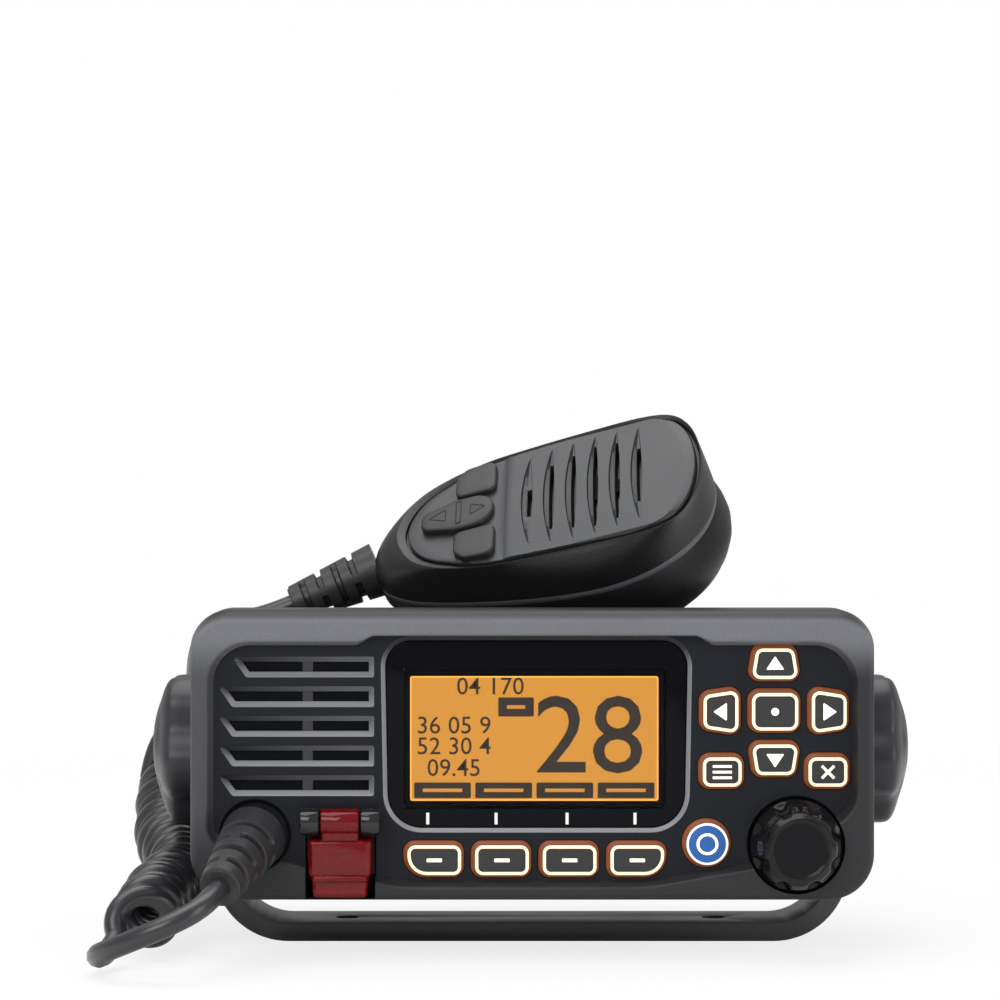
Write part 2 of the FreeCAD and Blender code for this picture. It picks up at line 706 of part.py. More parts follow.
def panel_keys() -> list[Key]:
    """All the keys of the panel."""
    long_side, short_side, deep = "Size.arrow_long", "Size.arrow_short", "Size.arrow_depth"
    tall, low, wide = "Size.side_arrow_long", "Size.side_arrow_short", "Size.side_arrow_depth"
    small = trapezoid("Size.corner_key_width", "Size.corner_key_width", "Size.corner_key_depth")
    keys = [
        Key("key_enter", "Size.pad_x", PAD_HEIGHT,
            trapezoid("Size.enter_width", "Size.enter_width", "Size.enter_depth")),
        Key("key_up", "Size.pad_x", f"{PAD_HEIGHT} + {PAD_PITCH}",
            trapezoid(long_side, short_side, deep)),
        Key("key_down", "Size.pad_x", f"{PAD_HEIGHT} - {PAD_PITCH}",
            trapezoid(short_side, long_side, deep)),
        Key("key_left", "Size.pad_x - Size.pad_reach_side", PAD_HEIGHT,
            side_arrow(low, tall, wide)),
        Key("key_right", "Size.pad_x + Size.pad_reach_side", PAD_HEIGHT,
            side_arrow(tall, low, wide)),
        Key("key_menu", "Size.pad_x - Size.corner_key_reach", CORNER_KEY_HEIGHT, small),
        Key("key_clear", "Size.pad_x + Size.corner_key_reach", CORNER_KEY_HEIGHT, small),
        Key("key_call", "Size.call_key_x", "Size.call_key_height"),
    ]
    shape = trapezoid("Size.soft_key_width", "Size.soft_key_width", "Size.soft_key_depth")
    for number in range(4):
        x = f"Size.soft_key_x + Size.soft_key_pitch * {number - 1.5}"
        keys.append(Key(f"soft_key_{number + 1}", x, "Size.soft_key_height", shape))
    return keys


def cut_grille_slot(piece: Piece, number: int) -> None:
    """One speaker slot: a bevelled mouth with a slanting left end, open on both sides of a rib."""
    row = f"{SPEAKER_HEIGHT} + Size.slot_pitch * {number - 2}"
    right = "Size.speaker_x + Size.slot_length / 2"
    is_top = number == int(value("Size.slot_count")) - 1
    trim = "Size.top_slot_trim" if is_top else "0"
    left = f"Size.speaker_x - Size.slot_length / 2 + {trim}"
    mouth_height = "(Size.slot_opening + 2 * Size.slot_bevel)"
    low, high = f"{row} - {mouth_height} / 2", f"{row} + {mouth_height} / 2"
    mouth = piece.outline(PANEL_FLOOR).polygon([
        (f"{left} + Size.slot_slant", low, ""), (right, low, ""), (right, high, ""), (left, high, "")])
    piece.pocket(mouth, "Size.slot_bevel", draft="Size.bevel_draft")
    low, high = f"{row} - Size.slot_opening / 2", f"{row} + Size.slot_opening / 2"
    end = f"{left} + Size.slot_bevel"
    slant = "Size.slot_slant / 2"
    rib_left = f"{RIB_X} - Size.grille_rib / 2"
    rib_right = f"{RIB_X} + Size.grille_rib / 2"
    opening = piece.outline(PANEL_FLOOR).polygon([
        (f"{end} + {slant} + Size.bezel_edge / 2", low, ""), (rib_left, low, ""), (rib_left, high, ""),
        (f"{end} + Size.bezel_edge / 2", high, "")])
    opening.polygon([(rib_right, low, ""), (f"{right} - Size.slot_bevel", low, ""),
                     (f"{right} - Size.slot_bevel", high, ""), (rib_right, high, "")])
    piece.pocket(opening, "Size.floor_thickness + 1")


def front_panel() -> None:
    """The moulded front: a deep rim round a sunk face with all its openings."""
    piece = Piece("front_panel", on_panel(), FACING_FRONT)
    half = "Size.bezel_width / 2"
    bottom, top = "Size.bezel_bottom_radius", "Size.bezel_top_radius"
    rim = piece.outline(PANEL_REAR).polygon([
        (f"-{half}", "0", bottom), (half, "0", bottom),
        (half, "Size.bezel_height", top), (f"-{half}", "Size.bezel_height", top)])
    piece.pad(rim, "Size.bezel_depth")
    piece.soften("Fillet", "Size.bezel_edge", edge_at("0"))
    piece.pocket(recess_outline(piece.outline()), "Size.recess_depth", draft="Size.recess_draft")
    wall = "Size.bezel_wall"
    inside = f"({half} - {wall})"
    hollow = piece.outline(PANEL_REAR).polygon([
        (f"-{inside}", wall, f"{bottom} - {wall}"), (inside, wall, f"{bottom} - {wall}"),
        (inside, f"Size.bezel_height - {wall}", f"{top} - {wall}"),
        (f"-{inside}", f"Size.bezel_height - {wall}", f"{top} - {wall}")])
    piece.pocket(hollow, "Size.bezel_depth - Size.recess_depth - Size.floor_thickness", upwards=True)
    for number in range(int(value("Size.slot_count"))):
        cut_grille_slot(piece, number)
    piece.pocket(window_outline(piece.outline(PANEL_FLOOR), "Size.window_bevel"),
                 "Size.window_bevel", draft="Size.bevel_draft")
    piece.pocket(window_outline(piece.outline(PANEL_FLOOR), "0"), "Size.floor_thickness + 1")
    for key in panel_keys():
        hole = piece.outline(PANEL_FLOOR)
        key.draw(hole, "Size.key_gap")
        piece.pocket(hole, "Size.floor_thickness + 1")
    well = piece.outline().circle("Size.dial_x", "Size.dial_height", "Size.dial_well")
    piece.pocket(well, "Size.recess_depth")
    bush = piece.outline().circle("Size.dial_x", "Size.dial_height", "Size.dial_bush")
    piece.pocket(bush, "Size.recess_depth + Size.floor_thickness + 1")
    bay_top = "(Size.hinge_height - Size.hinge_diameter / 2 + Size.running_gap)"
    bay = piece.outline().rectangle("Size.distress_x", f"({bay_top} + Size.bay_lip) / 2",
                                    "Size.cover_width + 2 * Size.bay_margin",
                                    f"{bay_top} - Size.bay_lip")
    piece.pocket(bay, "Size.recess_depth")
    key_hole = piece.outline(PANEL_FLOOR).rectangle(
        "Size.distress_x", "Size.distress_key_height",
        "Size.distress_key_size + 2 * Size.key_gap",
        "Size.distress_key_size + 2 * Size.key_gap", "Size.key_radius")
    piece.pocket(key_hole, "Size.floor_thickness + 1")
    ears = piece.outline(PANEL_FLOOR)
    ear = "((Size.hinge_length - Size.knuckle_length) / 2 - Size.running_gap)"
    for side in ("-", "+"):
        ears.rectangle(f"Size.distress_x {side} (Size.hinge_length - {ear}) / 2", "Size.hinge_height",
                       ear, "Size.hinge_diameter - 1.6")
    piece.pad(ears, "Size.recess_depth + Size.hinge_stand - 1")
    saddle = piece.outline("Size.distress_x", plane="YZ_Plane").circle(
        "Size.hinge_height", "Size.hinge_stand", "Size.hinge_diameter")
    piece.pocket(saddle, "Size.hinge_length + 1", both_ways=True)
    socket = piece.outline().circle("Size.socket_x", "Size.socket_height", "Size.cord_diameter + 3")
    piece.pocket(socket, "Size.recess_depth + Size.floor_thickness + 1")
    flat = piece.outline().circle("Size.socket_x", "Size.socket_height", "Size.socket_diameter + 1")
    piece.pocket(flat, "Size.recess_depth")


def key_pieces() -> None:
    """Each key: a cap through the panel, a flange behind it and a stem to its switch."""
    flange = "Size.key_flange_depth"
    for key in panel_keys():
        piece = Piece(key.name, on_panel(key.x, key.height), FACING_FRONT)
        cap = piece.outline(KEY_BASE)
        key.draw(cap, "0", on_the_panel=False)
        piece.pad(cap, f"Size.floor_thickness + Size.running_gap + {flange} + Size.key_proud")
        level = f"{PANEL_FLOOR} + Size.key_proud"
        piece.soften("Fillet", "Size.key_edge", edge_at(level))
        skirt = piece.outline(KEY_BASE)
        key.draw(skirt, "Size.key_flange", on_the_panel=False)
        piece.pad(skirt, flange)
        stem = piece.outline(KEY_BASE).circle("0", "0", "Size.key_stem")
        reach = f"Size.board_depth - Size.recess_depth - Size.floor_thickness - {flange}"
        post = piece.pad(stem, f"{reach} - Size.running_gap - Size.key_travel - Size.press_slack")
        post.Reversed = True


def display() -> None:
    """The window, glued in from behind, and the liquid crystal panel and its backlight."""
    window = Piece("display_window", on_panel(), FACING_FRONT)
    flange = f"{PANEL_BACK} - Size.window_thickness"
    window.pad(window_outline(window.outline(flange), "Size.window_flange"), "Size.window_thickness")
    boss = "Size.window_thickness + Size.floor_thickness - Size.window_bevel"
    window.pad(window_outline(window.outline(flange), "-0.15"), boss)
    stack = f"{flange} - Size.running_gap"
    panel = Piece("lcd_panel", on_panel(), FACING_FRONT)
    screen = panel.outline(f"{stack} - Size.lcd_thickness").rectangle(
        "Size.lcd_x", LCD_MIDDLE, "Size.lcd_width", "Size.lcd_height", "Size.window_lean")
    panel.pad(screen, "Size.lcd_thickness")
    light = Piece("lcd_backlight", on_panel(), FACING_FRONT)
    tray = light.outline("-Size.board_depth").rectangle(
        "Size.lcd_x", LCD_MIDDLE, "Size.lcd_width + 2 * Size.backlight_margin",
        "Size.lcd_height + 2 * Size.backlight_margin", "Size.backlight_margin")
    light.pad(tray, f"Size.board_depth + {stack} - Size.lcd_thickness")


def front_electronics() -> None:
    """The front circuit board and the silicone sheet that returns the keys."""
    board = Piece("front_circuit_board", on_panel(), FACING_FRONT)
    edge = "(Size.bezel_wall + Size.board_margin)"
    right = f"Size.bezel_width / 2 - {edge}"
    low, high = f"{edge} + Size.board_margin", f"Size.bezel_height - {edge}"
    thickness = "Size.board_thickness"
    small, large = "Size.key_radius", "Size.bezel_top_radius - Size.bezel_wall"
    plate = board.outline(f"-Size.board_depth - {thickness}").polygon([
        ("Size.board_left", low, small), (right, low, large), (right, high, large),
        ("Size.board_left", high, small)])
    board.pad(plate, thickness)
    sheet_piece = Piece("keypad_sheet", on_panel(), FACING_FRONT)
    cushion = sheet_piece.outline("-Size.sheet_depth - Size.sheet_thickness")
    margin = "Size.sheet_margin"
    half_pad = f"Size.pad_reach_side + Size.side_arrow_depth / 2 + {margin}"
    under = f"({CORNER_KEY_HEIGHT} - Size.corner_key_depth / 2 - {margin})"
    over = f"({PAD_HEIGHT} + {PAD_PITCH} + Size.arrow_depth / 2 + {margin})"
    cushion.rectangle("Size.pad_x", f"({under} + {over}) / 2", f"2 * ({half_pad})",
                      f"{over} - {under}", "Size.shoulder_radius")
    cushion.rectangle("Size.soft_key_x", "Size.soft_key_height",
                      f"Size.soft_key_pitch * 3 + Size.soft_key_width + 2 * {margin}",
                      f"Size.soft_key_depth + 2 * {margin}", "Size.key_radius")
    for key in panel_keys():
        if key.corners is not None:
            cushion.circle(key.x, key.height, "Size.key_stem + 2 * Size.running_gap")
    sheet_piece.pad(cushion, "Size.sheet_thickness")


def loudspeaker() -> None:
    """A small round loudspeaker behind the grille: foam ring, steel basket and paper cone."""
    radius = "Size.speaker_diameter / 2"
    place = on_panel("Size.speaker_x", SPEAKER_HEIGHT)
    back = "Size.recess_depth + Size.floor_thickness"
    face = f"-({back}) - Size.gasket_thickness"
    rear = f"{face} - Size.speaker_depth"
    gasket = Piece("speaker_gasket", place, FACING_FRONT)
    ring = gasket.outline(face).circle("0", "0", "Size.speaker_diameter")
    ring.circle("0", "0", "Size.speaker_diameter - 2 * Size.gasket_width")
    gasket.pad(ring, "Size.gasket_thickness")
    basket = Piece("speaker_basket", place, FACING_FRONT)
    wall, sheet_metal = f"{radius} * Size.magnet_share", "Size.basket_flange"
    basket.revolve(basket.outline(plane="XZ_Plane").polygon([
        (f"{radius} - Size.gasket_width", face, ""), (radius, face, ""),
        (radius, f"{face} - {sheet_metal}", ""), (wall, f"{rear} + Size.magnet_depth", ""),
        (wall, rear, ""), ("0", rear, ""), ("0", f"{rear} + Size.cone_depth", ""),
        (f"{wall} - 2 * {sheet_metal}", f"{rear} + Size.cone_depth", ""),
        (f"{wall} - {sheet_metal}", f"{rear} + Size.magnet_depth + {sheet_metal}", "")]))
    cone = Piece("speaker_cone", place, FACING_FRONT)
    outer, hub = f"{radius} - Size.cone_margin", f"{radius} * (1 - Size.magnet_share)"
    paper = "Size.gasket_thickness"
    cone.revolve(cone.outline(plane="XZ_Plane").polygon([
        (outer, f"{face} - Size.running_gap", ""), (hub, f"{face} - Size.cone_depth", ""),
        ("0", f"{face} - Size.cone_depth + Size.key_edge", ""),
        ("0", f"{face} - Size.cone_depth + Size.key_edge - {paper}", ""),
        (hub, f"{face} - Size.cone_depth - {paper}", ""),
        (outer, f"{face} - Size.running_gap - {paper}", "")]))


# ----------------------------------------------------------------- distress key and its cover

def distress_controls() -> None:
    """The clear red flip-up cover on its pin, and the key that it guards."""
    place = on_panel("Size.distress_x", "Size.hinge_height")
    stand = "Size.hinge_stand"
    cover = Piece("distress_cover", place, FACING_FRONT)
    half = "Size.cover_width / 2"
    low, lip = "-(Size.cover_length + Size.hinge_diameter / 2)", "-Size.hinge_diameter / 2"
    floor = f"{PANEL_FLOOR} + Size.running_gap"
    wall, edge = "Size.cover_wall", "Size.cover_edge"

    def cover_outline(inset: str) -> Outline:
        """A plate with wide shoulders and a narrower lower lip, set inwards."""
        waist, side = f"{half} - Size.cover_taper - {inset}", f"{half} - {inset}"
        shoulder = f"{low} + Size.cover_shoulder + {inset}"
        top = f"{lip} - Size.cover_notch - {inset}"
        return cover.outline(floor).polygon([
            (f"-({waist})", f"{low} + {inset}", edge), (waist, f"{low} + {inset}", edge),
            (side, shoulder, edge), (side, top, "Size.cover_notch"),
            (f"-({side})", top, "Size.cover_notch"), (f"-({side})", shoulder, edge)])

    cover.pad(cover_outline("0"), "Size.cover_height", draft="Size.cover_draft")
    cover.soften("Fillet", edge, edge_at(f"{floor} + Size.cover_height"))
    cover.pocket(cover_outline(wall), f"Size.cover_height - {wall}", upwards=True,
                 draft="Size.cover_draft")
    reach = "(Size.hinge_diameter / 2)"
    knuckle = cover.outline(plane="YZ_Plane").circle("0", stand, "Size.hinge_diameter")
    cover.pad(knuckle, "Size.knuckle_length", both_ways=True)
    web = cover.outline(f"{stand} - 0.2").rectangle("0", f"-{reach}", "Size.knuckle_length", "3.2")
    cover.pad(web, "2")
    bore = cover.outline(plane="YZ_Plane").circle(
        "0", stand, "Size.hinge_pin + 2 * Size.pivot_clearance")
    cover.pocket(bore, "Size.cover_width", both_ways=True)
    pin = Piece("distress_hinge_pin", place, FACING_FRONT)
    rod = pin.outline(plane="YZ_Plane").circle("0", stand, "Size.hinge_pin")
    pin.pad(rod, "Size.hinge_length", both_ways=True)
    cap_length = "((Size.hinge_length - Size.knuckle_length) / 2 - Size.running_gap)"
    for side in (False, True):
        start = f"(Size.hinge_length / 2 - {cap_length})"
        end_cap = pin.outline(f"-{start}" if side else start, plane="YZ_Plane").circle(
            "0", stand, "Size.hinge_diameter")
        pin.pad(end_cap, cap_length).Reversed = side
    key = Piece("distress_key", on_panel("Size.distress_x", "Size.distress_key_height"), FACING_FRONT)
    size, flange = "Size.distress_key_size", "Size.key_flange_depth"
    cap = key.outline(KEY_BASE).rectangle("0", "0", size, size, "Size.key_radius")
    key.pad(cap, f"Size.floor_thickness + Size.running_gap + {flange} + Size.key_proud")
    wide = f"{size} + 2 * Size.cover_edge * Size.key_flange"
    skirt = key.outline(KEY_BASE).rectangle("0", "0", wide, wide, "Size.key_radius")
    key.pad(skirt, flange)
    switch = Piece("distress_switch", on_panel("Size.distress_x", "Size.distress_key_height"),
                   FACING_FRONT)
    block = switch.outline("-Size.board_depth").rectangle(
        "0", "0", "Size.distress_switch_size", "Size.distress_switch_size", "Size.key_edge")
    switch.pad(block, f"Size.board_depth + {KEY_BASE} - Size.key_travel - Size.press_slack")


# --------------------------------------------------------------------------- volume control

def volume_control() -> None:
    """The fluted dial on its shaft, and the rotary encoder that also takes a push."""
    place = on_panel("Size.dial_x", "Size.dial_height")
    under = f"{PANEL_FLOOR} + Size.plunger_travel + Size.press_slack"
    shaft_radius = "Size.shaft_diameter / 2"
    radius, ring = "Size.dial_skirt / 2", "Size.dial_ring / 2"
    face = f"{PANEL_FLOOR} + Size.dial_protrusion"
    grip = "Size.dial_protrusion - 5"
    dial = Piece("volume_knob", place, FACING_FRONT)
    dial.revolve(dial.outline(plane="XZ_Plane").polygon([
        (shaft_radius, under, ""), (radius, under, ""), (radius, f"{under} + 2.4", "1"),
        (f"{radius} - 1.6", f"{face} - 2.6", "2"), (ring, face, ""),
        (f"{ring} - Size.dial_rim + Size.dial_dish", face, ""),
        (f"{ring} - Size.dial_rim", f"{face} - Size.dial_dish", ""), ("0", f"{face} - Size.dial_dish", ""),
        ("0", f"{under} + {grip}", ""), (shaft_radius, f"{under} + {grip}", "")]))
    reach = f"{radius} + Size.dial_flute_radius - Size.dial_flute_depth"
    flute = dial.outline(under).circle(reach, "0", "2 * Size.dial_flute_radius")
    cut = dial.pocket(flute, "Size.dial_protrusion", upwards=True)
    dial.around(cut, "Size.dial_flutes")
    can_top = "-(Size.board_depth - Size.encoder_height)"
    seat = f"{can_top} - 4.1"
    shaft = Piece("encoder_shaft", place, FACING_FRONT)
    rod = shaft.outline(seat).circle("0", "0", "Size.shaft_diameter")
    shaft.pad(rod, f"{under} + {grip} - ({seat})")
    plunger = Piece("encoder_plunger", place, FACING_FRONT)
    room_floor = f"({seat} - Size.plunger_thickness - 2 * Size.pivot_clearance + Size.pivot_clearance)"
    disc = plunger.outline(room_floor).circle("0", "0", "Size.plunger_diameter")
    plunger.pad(disc, "Size.plunger_thickness")
    encoder = Piece("encoder_body", place, FACING_FRONT)
    size = "Size.encoder_size"
    encoder.pad(encoder.outline("-Size.board_depth").rectangle("0", "0", size, size, "0.8"),
                "Size.encoder_height")
    neck = encoder.outline(can_top).circle("0", "0", "Size.shaft_diameter + 2.4")
    encoder.pad(neck, f"{PANEL_FLOOR} - ({can_top}) - 0.2")
    bore = encoder.outline(PANEL_FLOOR).circle("0", "0", "Size.shaft_diameter + 2 * Size.pivot_clearance")
    encoder.pocket(bore, f"{PANEL_FLOOR} - ({can_top}) + 1.6")
    room = encoder.outline(f"{can_top} - 1.5").circle(
        "0", "0", "Size.plunger_diameter + 2 * Size.running_gap")
    encoder.pocket(room, f"{can_top} - 1.5 - {room_floor} + Size.plunger_travel + Size.press_slack")


# ------------------------------------------------------------------------------------- case

CASE_FRONT = "-(Size.bezel_depth + Size.running_gap)"
CASE_REAR = f"({CASE_FRONT} - Size.case_depth)"
CASE_MIDDLE = "(Size.bezel_height / 2)"
CASE_HEIGHT = "(Size.bezel_height - 2 * Size.case_inset)"
CASE_BACK_Y = "-Size.front_reach + Size.bezel_depth + Size.running_gap + Size.case_depth"


def case() -> None:
    """The cast case: open at the front, cooling fins at the rear and a boss on each side."""
    piece = Piece("case", on_panel(), FACING_FRONT)
    body = piece.outline(CASE_REAR).rectangle("0", CASE_MIDDLE, "Size.case_width",
                                              CASE_HEIGHT, "Size.case_radius")
    piece.pad(body, "Size.case_depth")
    wall = "Size.case_wall"
    hollow = piece.outline(CASE_FRONT).rectangle("0", CASE_MIDDLE, f"Size.case_width - 2 * {wall}",
                                                 f"{CASE_HEIGHT} - 2 * {wall}", "Size.case_radius / 2")
    piece.pocket(hollow, "Size.case_depth - Size.rear_wall")
    inner = "Size.case_width / 2 - Size.case_wall - Size.boss_reach"
    for side in (False, True):
        boss = piece.outline(f"-({inner})" if side else inner, plane="YZ_Plane").circle(
            "Size.tilt_height - Size.panel_base", "-Size.front_reach", "Size.boss_diameter")
        lug = piece.pad(boss, "Size.case_wall + Size.boss_reach")
        lug.Reversed = side
    thread = piece.outline(plane="YZ_Plane").circle(
        "Size.tilt_height - Size.panel_base", "-Size.front_reach",
        "Size.stud_diameter + 2 * Size.pivot_clearance")
    piece.pocket(thread, "Size.case_width + 2", both_ways=True)
    for side in ("-", ""):
        first = f"{side}(Size.case_width / 2 - Size.fin_pitch)"
        groove = piece.outline(CASE_REAR)
        for number in range(int(value("Size.fin_count"))):
            x = f"{first} {'+' if side else '-'} Size.fin_pitch * {number}"
            groove.rectangle(x, CASE_MIDDLE, "Size.fin_gap", f"{CASE_HEIGHT} + 2")
        piece.pocket(groove, "Size.fin_depth", upwards=True)
    outlet = piece.outline(CASE_REAR)
    outlet.circle("0", CASE_MIDDLE, "Size.connector_bore * 2")
    outlet.circle("Size.gland_x", CASE_MIDDLE, "Size.gland_diameter - 4")
    piece.pocket(outlet, "Size.rear_wall + 1", upwards=True)


def case_fittings() -> None:
    """What the case carries: gasket, boards, aerial connector, lead gland and screws."""
    gasket = Piece("case_gasket", on_panel(), FACING_FRONT)
    ring = gasket.outline(f"{PANEL_REAR} - Size.running_gap").rectangle(
        "0", CASE_MIDDLE, "Size.case_width - Size.running_gap", f"{CASE_HEIGHT} - Size.running_gap",
        "Size.case_radius")
    ring.rectangle("0", CASE_MIDDLE, "Size.case_width - 2 * Size.case_wall",
                   f"{CASE_HEIGHT} - 2 * Size.case_wall", "Size.case_radius / 2")
    gasket.pad(ring, "Size.gasket_thickness + Size.running_gap")
    board = Piece("main_circuit_board", ("0", "0", "Size.main_board_height"))
    front = "-Size.front_reach + Size.bezel_depth + Size.main_board_setback"
    rear = f"{CASE_BACK_Y} - Size.rear_wall"
    side = "(Size.case_width / 2 - Size.case_wall - Size.main_board_inset)"
    plate = board.outline().polygon([
        (f"-{side}", front, "1"), (side, front, "1"), (side, rear, "1"), (f"-{side}", rear, "1")])
    board.pad(plate, "Size.board_thickness")
    shield = Piece("shield_can", ("Size.shield_x", f"{CASE_BACK_Y} - Size.shield_setback",
                                  "Size.main_board_height"))
    wide, deep, metal = "Size.shield_width", "Size.shield_depth", "Size.shield_wall"
    can = shield.outline("Size.board_thickness").rectangle("0", "0", wide, deep, "1")
    shield.pad(can, "Size.shield_height")
    room = shield.outline("Size.board_thickness").rectangle(
        "0", "0", f"{wide} - 2 * {metal}", f"{deep} - 2 * {metal}", metal)
    shield.pocket(room, f"Size.shield_height - {metal}", upwards=True)
    aerial = Piece("antenna_connector", ("0", CASE_BACK_Y,
                                         f"Size.panel_base + {CASE_MIDDLE}"), FACING_BACK)
    bore = "2 * Size.connector_bore"
    barrel = aerial.outline().circle("0", "0", "2 * Size.connector_radius")
    barrel.circle("0", "0", bore)
    aerial.pad(barrel, "Size.connector_length")
    flange = aerial.outline().rectangle("0", "0", "Size.connector_flange", "Size.connector_flange", "2")
    flange.circle("0", "0", bore)
    aerial.pad(flange, "Size.connector_flange_depth")
    core = aerial.outline("-Size.rear_wall").circle("0", "0", bore)
    aerial.pad(core, "Size.rear_wall + 1")
    contact = aerial.outline().circle("0", "0", "Size.connector_contact")
    aerial.pad(contact, "Size.connector_length - 2")
    gland = Piece("lead_gland", ("Size.gland_x", CASE_BACK_Y,
                                 f"Size.panel_base + {CASE_MIDDLE}"), FACING_BACK)
    gland.pad(gland.outline().circle("0", "0", "Size.gland_diameter"), "Size.gland_length")
    screws = Piece("case_screws", on_panel(), FACING_FRONT)
    heads = screws.outline(CASE_REAR)
    inset = "(Size.case_radius + Size.fin_depth)"
    for side in ("-", ""):
        for level in ("-", "+"):
            x = f"{side}(Size.case_width / 2 - {inset})"
            y = f"{CASE_MIDDLE} {level} ({CASE_HEIGHT} / 2 - {inset})"
            heads.circle(x, y, "Size.screw_head")
    screws.pad(heads, "Size.screw_head_height").Reversed = True


# ------------------------------------------------------------------------------- microphone

def draw_lens(drawing: Outline, x: str) -> None:
    """A slot that is widest in the middle: its edges follow a half circle squeezed along x."""
    steps = int(value("Size.mic_slot_steps"))
    near, far = [], []
    for number in range(-steps, steps + 1):
        share = math.sin(number / steps * math.pi / 2)
        across = f"Size.mic_slot_length / 2 * {share:.5f}"
        middle = f"{x} + Size.mic_slot_bow * {share ** 2:.5f}"
        half = f"Size.mic_slot_width / 2 * {math.sqrt(1 - share ** 2):.5f}"
        far.append((f"{middle} + {half}", across, ""))
        near.insert(0, (f"{middle} - {half}", across, ""))
    drawing.polygon(far + near[1:-1])


def mic_housings() -> None:
    """Two shells of one outline, hollow inside, with a grey strip in the seam."""
    strip = "Size.seam_thickness"
    wall = "Size.mic_wall"
    front = Piece("mic_front_housing", MIC_PLACE, MIC_TURN)
    height = "Size.mic_front_height"
    front.loft([front.outline().egg("0"), front.outline(f"{height} * 0.45").egg("0.8"),
                front.outline(f"{height} * 0.85").egg("2.6"),
                front.outline(height).egg("Size.mic_edge_inset")])
    cavity = front.outline().egg(f"(2.6 + {wall})")
    front.pocket(cavity, f"{height} - {wall}", upwards=True)
    slots = front.outline(f"{height} + 1")
    for number in range(int(value("Size.mic_slot_count"))):
        draw_lens(slots, f"Size.mic_slot_first + Size.mic_slot_pitch * {number}")
    front.pocket(slots, f"{wall} + 2")
    gap = "2 * Size.key_gap"
    keys = front.outline(f"{height} + 1")
    for side in ("-", ""):
        keys.rectangle("Size.mic_key_x", f"{side}Size.mic_key_offset",
                       f"Size.mic_key_length + {gap}", f"Size.mic_key_width + {gap}", "2")
    keys.rectangle("Size.rocker_x", "0", f"Size.rocker_length + {gap}",
                   f"Size.rocker_width + {gap}", "2.5")
    front.pocket(keys, f"{wall} + 4")
    seam = Piece("mic_seam_strip", MIC_PLACE, MIC_TURN)
    band = seam.outline(f"-{strip}").egg("0.4")
    band.egg("Size.mic_edge_inset")
    seam.pad(band, strip)
    back = Piece("mic_rear_housing", MIC_PLACE, MIC_TURN)
    depth = "Size.mic_back_height"
    back.loft([back.outline(f"-{strip}").egg("0"), back.outline(f"-{strip} - {depth} * 0.4").egg("2.5", "4"),
               back.outline(f"-{strip} - {depth} * 0.8").egg("8", "14"),
               back.outline(f"-{strip} - {depth}").egg("Size.mic_back_inset", "Size.mic_back_shift")])
    well = back.outline(f"-{strip}").egg(f"(11.5 + {wall})", "20")
    back.pocket(well, f"{depth} - {wall}")
    notch = back.outline("-Size.talk_key_height - Size.seam_thickness - Size.talk_key_drop").sector(
        "Size.mic_head_radius - Size.talk_key_depth - Size.talk_key_travel - Size.running_gap",
        "Size.mic_head_radius + 4", "Size.talk_key_start - 2", "Size.talk_key_end + 2")
    back.pocket(notch, "Size.talk_key_height", upwards=True)


def mic_controls() -> None:
    """The push-to-talk bar, two top keys and the channel rocker."""
    talk = Piece("talk_key", MIC_PLACE, MIC_TURN)
    low = "-Size.talk_key_height - Size.seam_thickness - Size.talk_key_drop + Size.running_gap"
    bar = talk.outline(low).sector(
        "Size.mic_head_radius - Size.talk_key_depth", "Size.mic_head_radius + Size.talk_key_proud",
        "Size.talk_key_start", "Size.talk_key_end")
    talk.pad(bar, "Size.talk_key_height - 2 * Size.running_gap")
    height = "Size.mic_front_height"
    under = f"{height} - Size.mic_wall - Size.mic_key_depth"
    for name, side in (("mic_key_upper", ""), ("mic_key_lower", "-")):
        key = Piece(name, MIC_PLACE, MIC_TURN)
        cap = key.outline(under).rectangle("Size.mic_key_x", f"{side}Size.mic_key_offset",
                                           "Size.mic_key_length", "Size.mic_key_width", "2")
        key.pad(cap, "Size.mic_wall + Size.mic_key_depth + Size.mic_key_proud")
    rocker = Piece("mic_rocker", MIC_PLACE, MIC_TURN)
    cap = rocker.outline(under).rectangle("Size.rocker_x", "0", "Size.rocker_length",
                                          "Size.rocker_width", "2.5")
    rocker.pad(cap, "Size.mic_wall + Size.mic_key_depth + Size.mic_key_proud")


def mic_inside() -> None:
    """The circuit board, the microphone capsule, the hanger stud and the screws."""
    height = "Size.mic_front_height"
    board = Piece("mic_circuit_board", MIC_PLACE, MIC_TURN)
    board.pad(board.outline("1").egg("9.6", "4"), "1.2")
    capsule = Piece("mic_capsule", MIC_PLACE, MIC_TURN)
    seat = "(1 + 1.2)"
    capsule.pad(capsule.outline(seat).circle("Size.mic_head_x", "0", "Size.capsule_diameter"),
                f"{height} - Size.mic_wall - {seat}")
    stud = Piece("hanger_stud", MIC_PLACE, MIC_TURN)
    bottom = "-Size.seam_thickness - Size.mic_back_height"
    stem = stud.outline(bottom).circle("Size.hanger_x", "0", "Size.hanger_stem")
    stud.pad(stem, "Size.hanger_stem_length").Reversed = True
    head = stud.outline(f"{bottom} - Size.hanger_stem_length").circle(
        "Size.hanger_x", "0", "Size.hanger_head")
    stud.pad(head, "Size.hanger_head_thickness").Reversed = True
    screws = Piece("mic_screws", MIC_PLACE, MIC_TURN)
    heads = screws.outline(bottom)
    for x, y in (("Size.mic_head_x", "10"), ("Size.mic_head_x", "-10"), ("Size.mic_head_x + 10", "0")):
        heads.circle(x, y, "Size.mic_screw_head")
    screws.pad(heads, "Size.mic_screw_height").Reversed = True


# ------------------------------------------------------------------------ cords and their ends

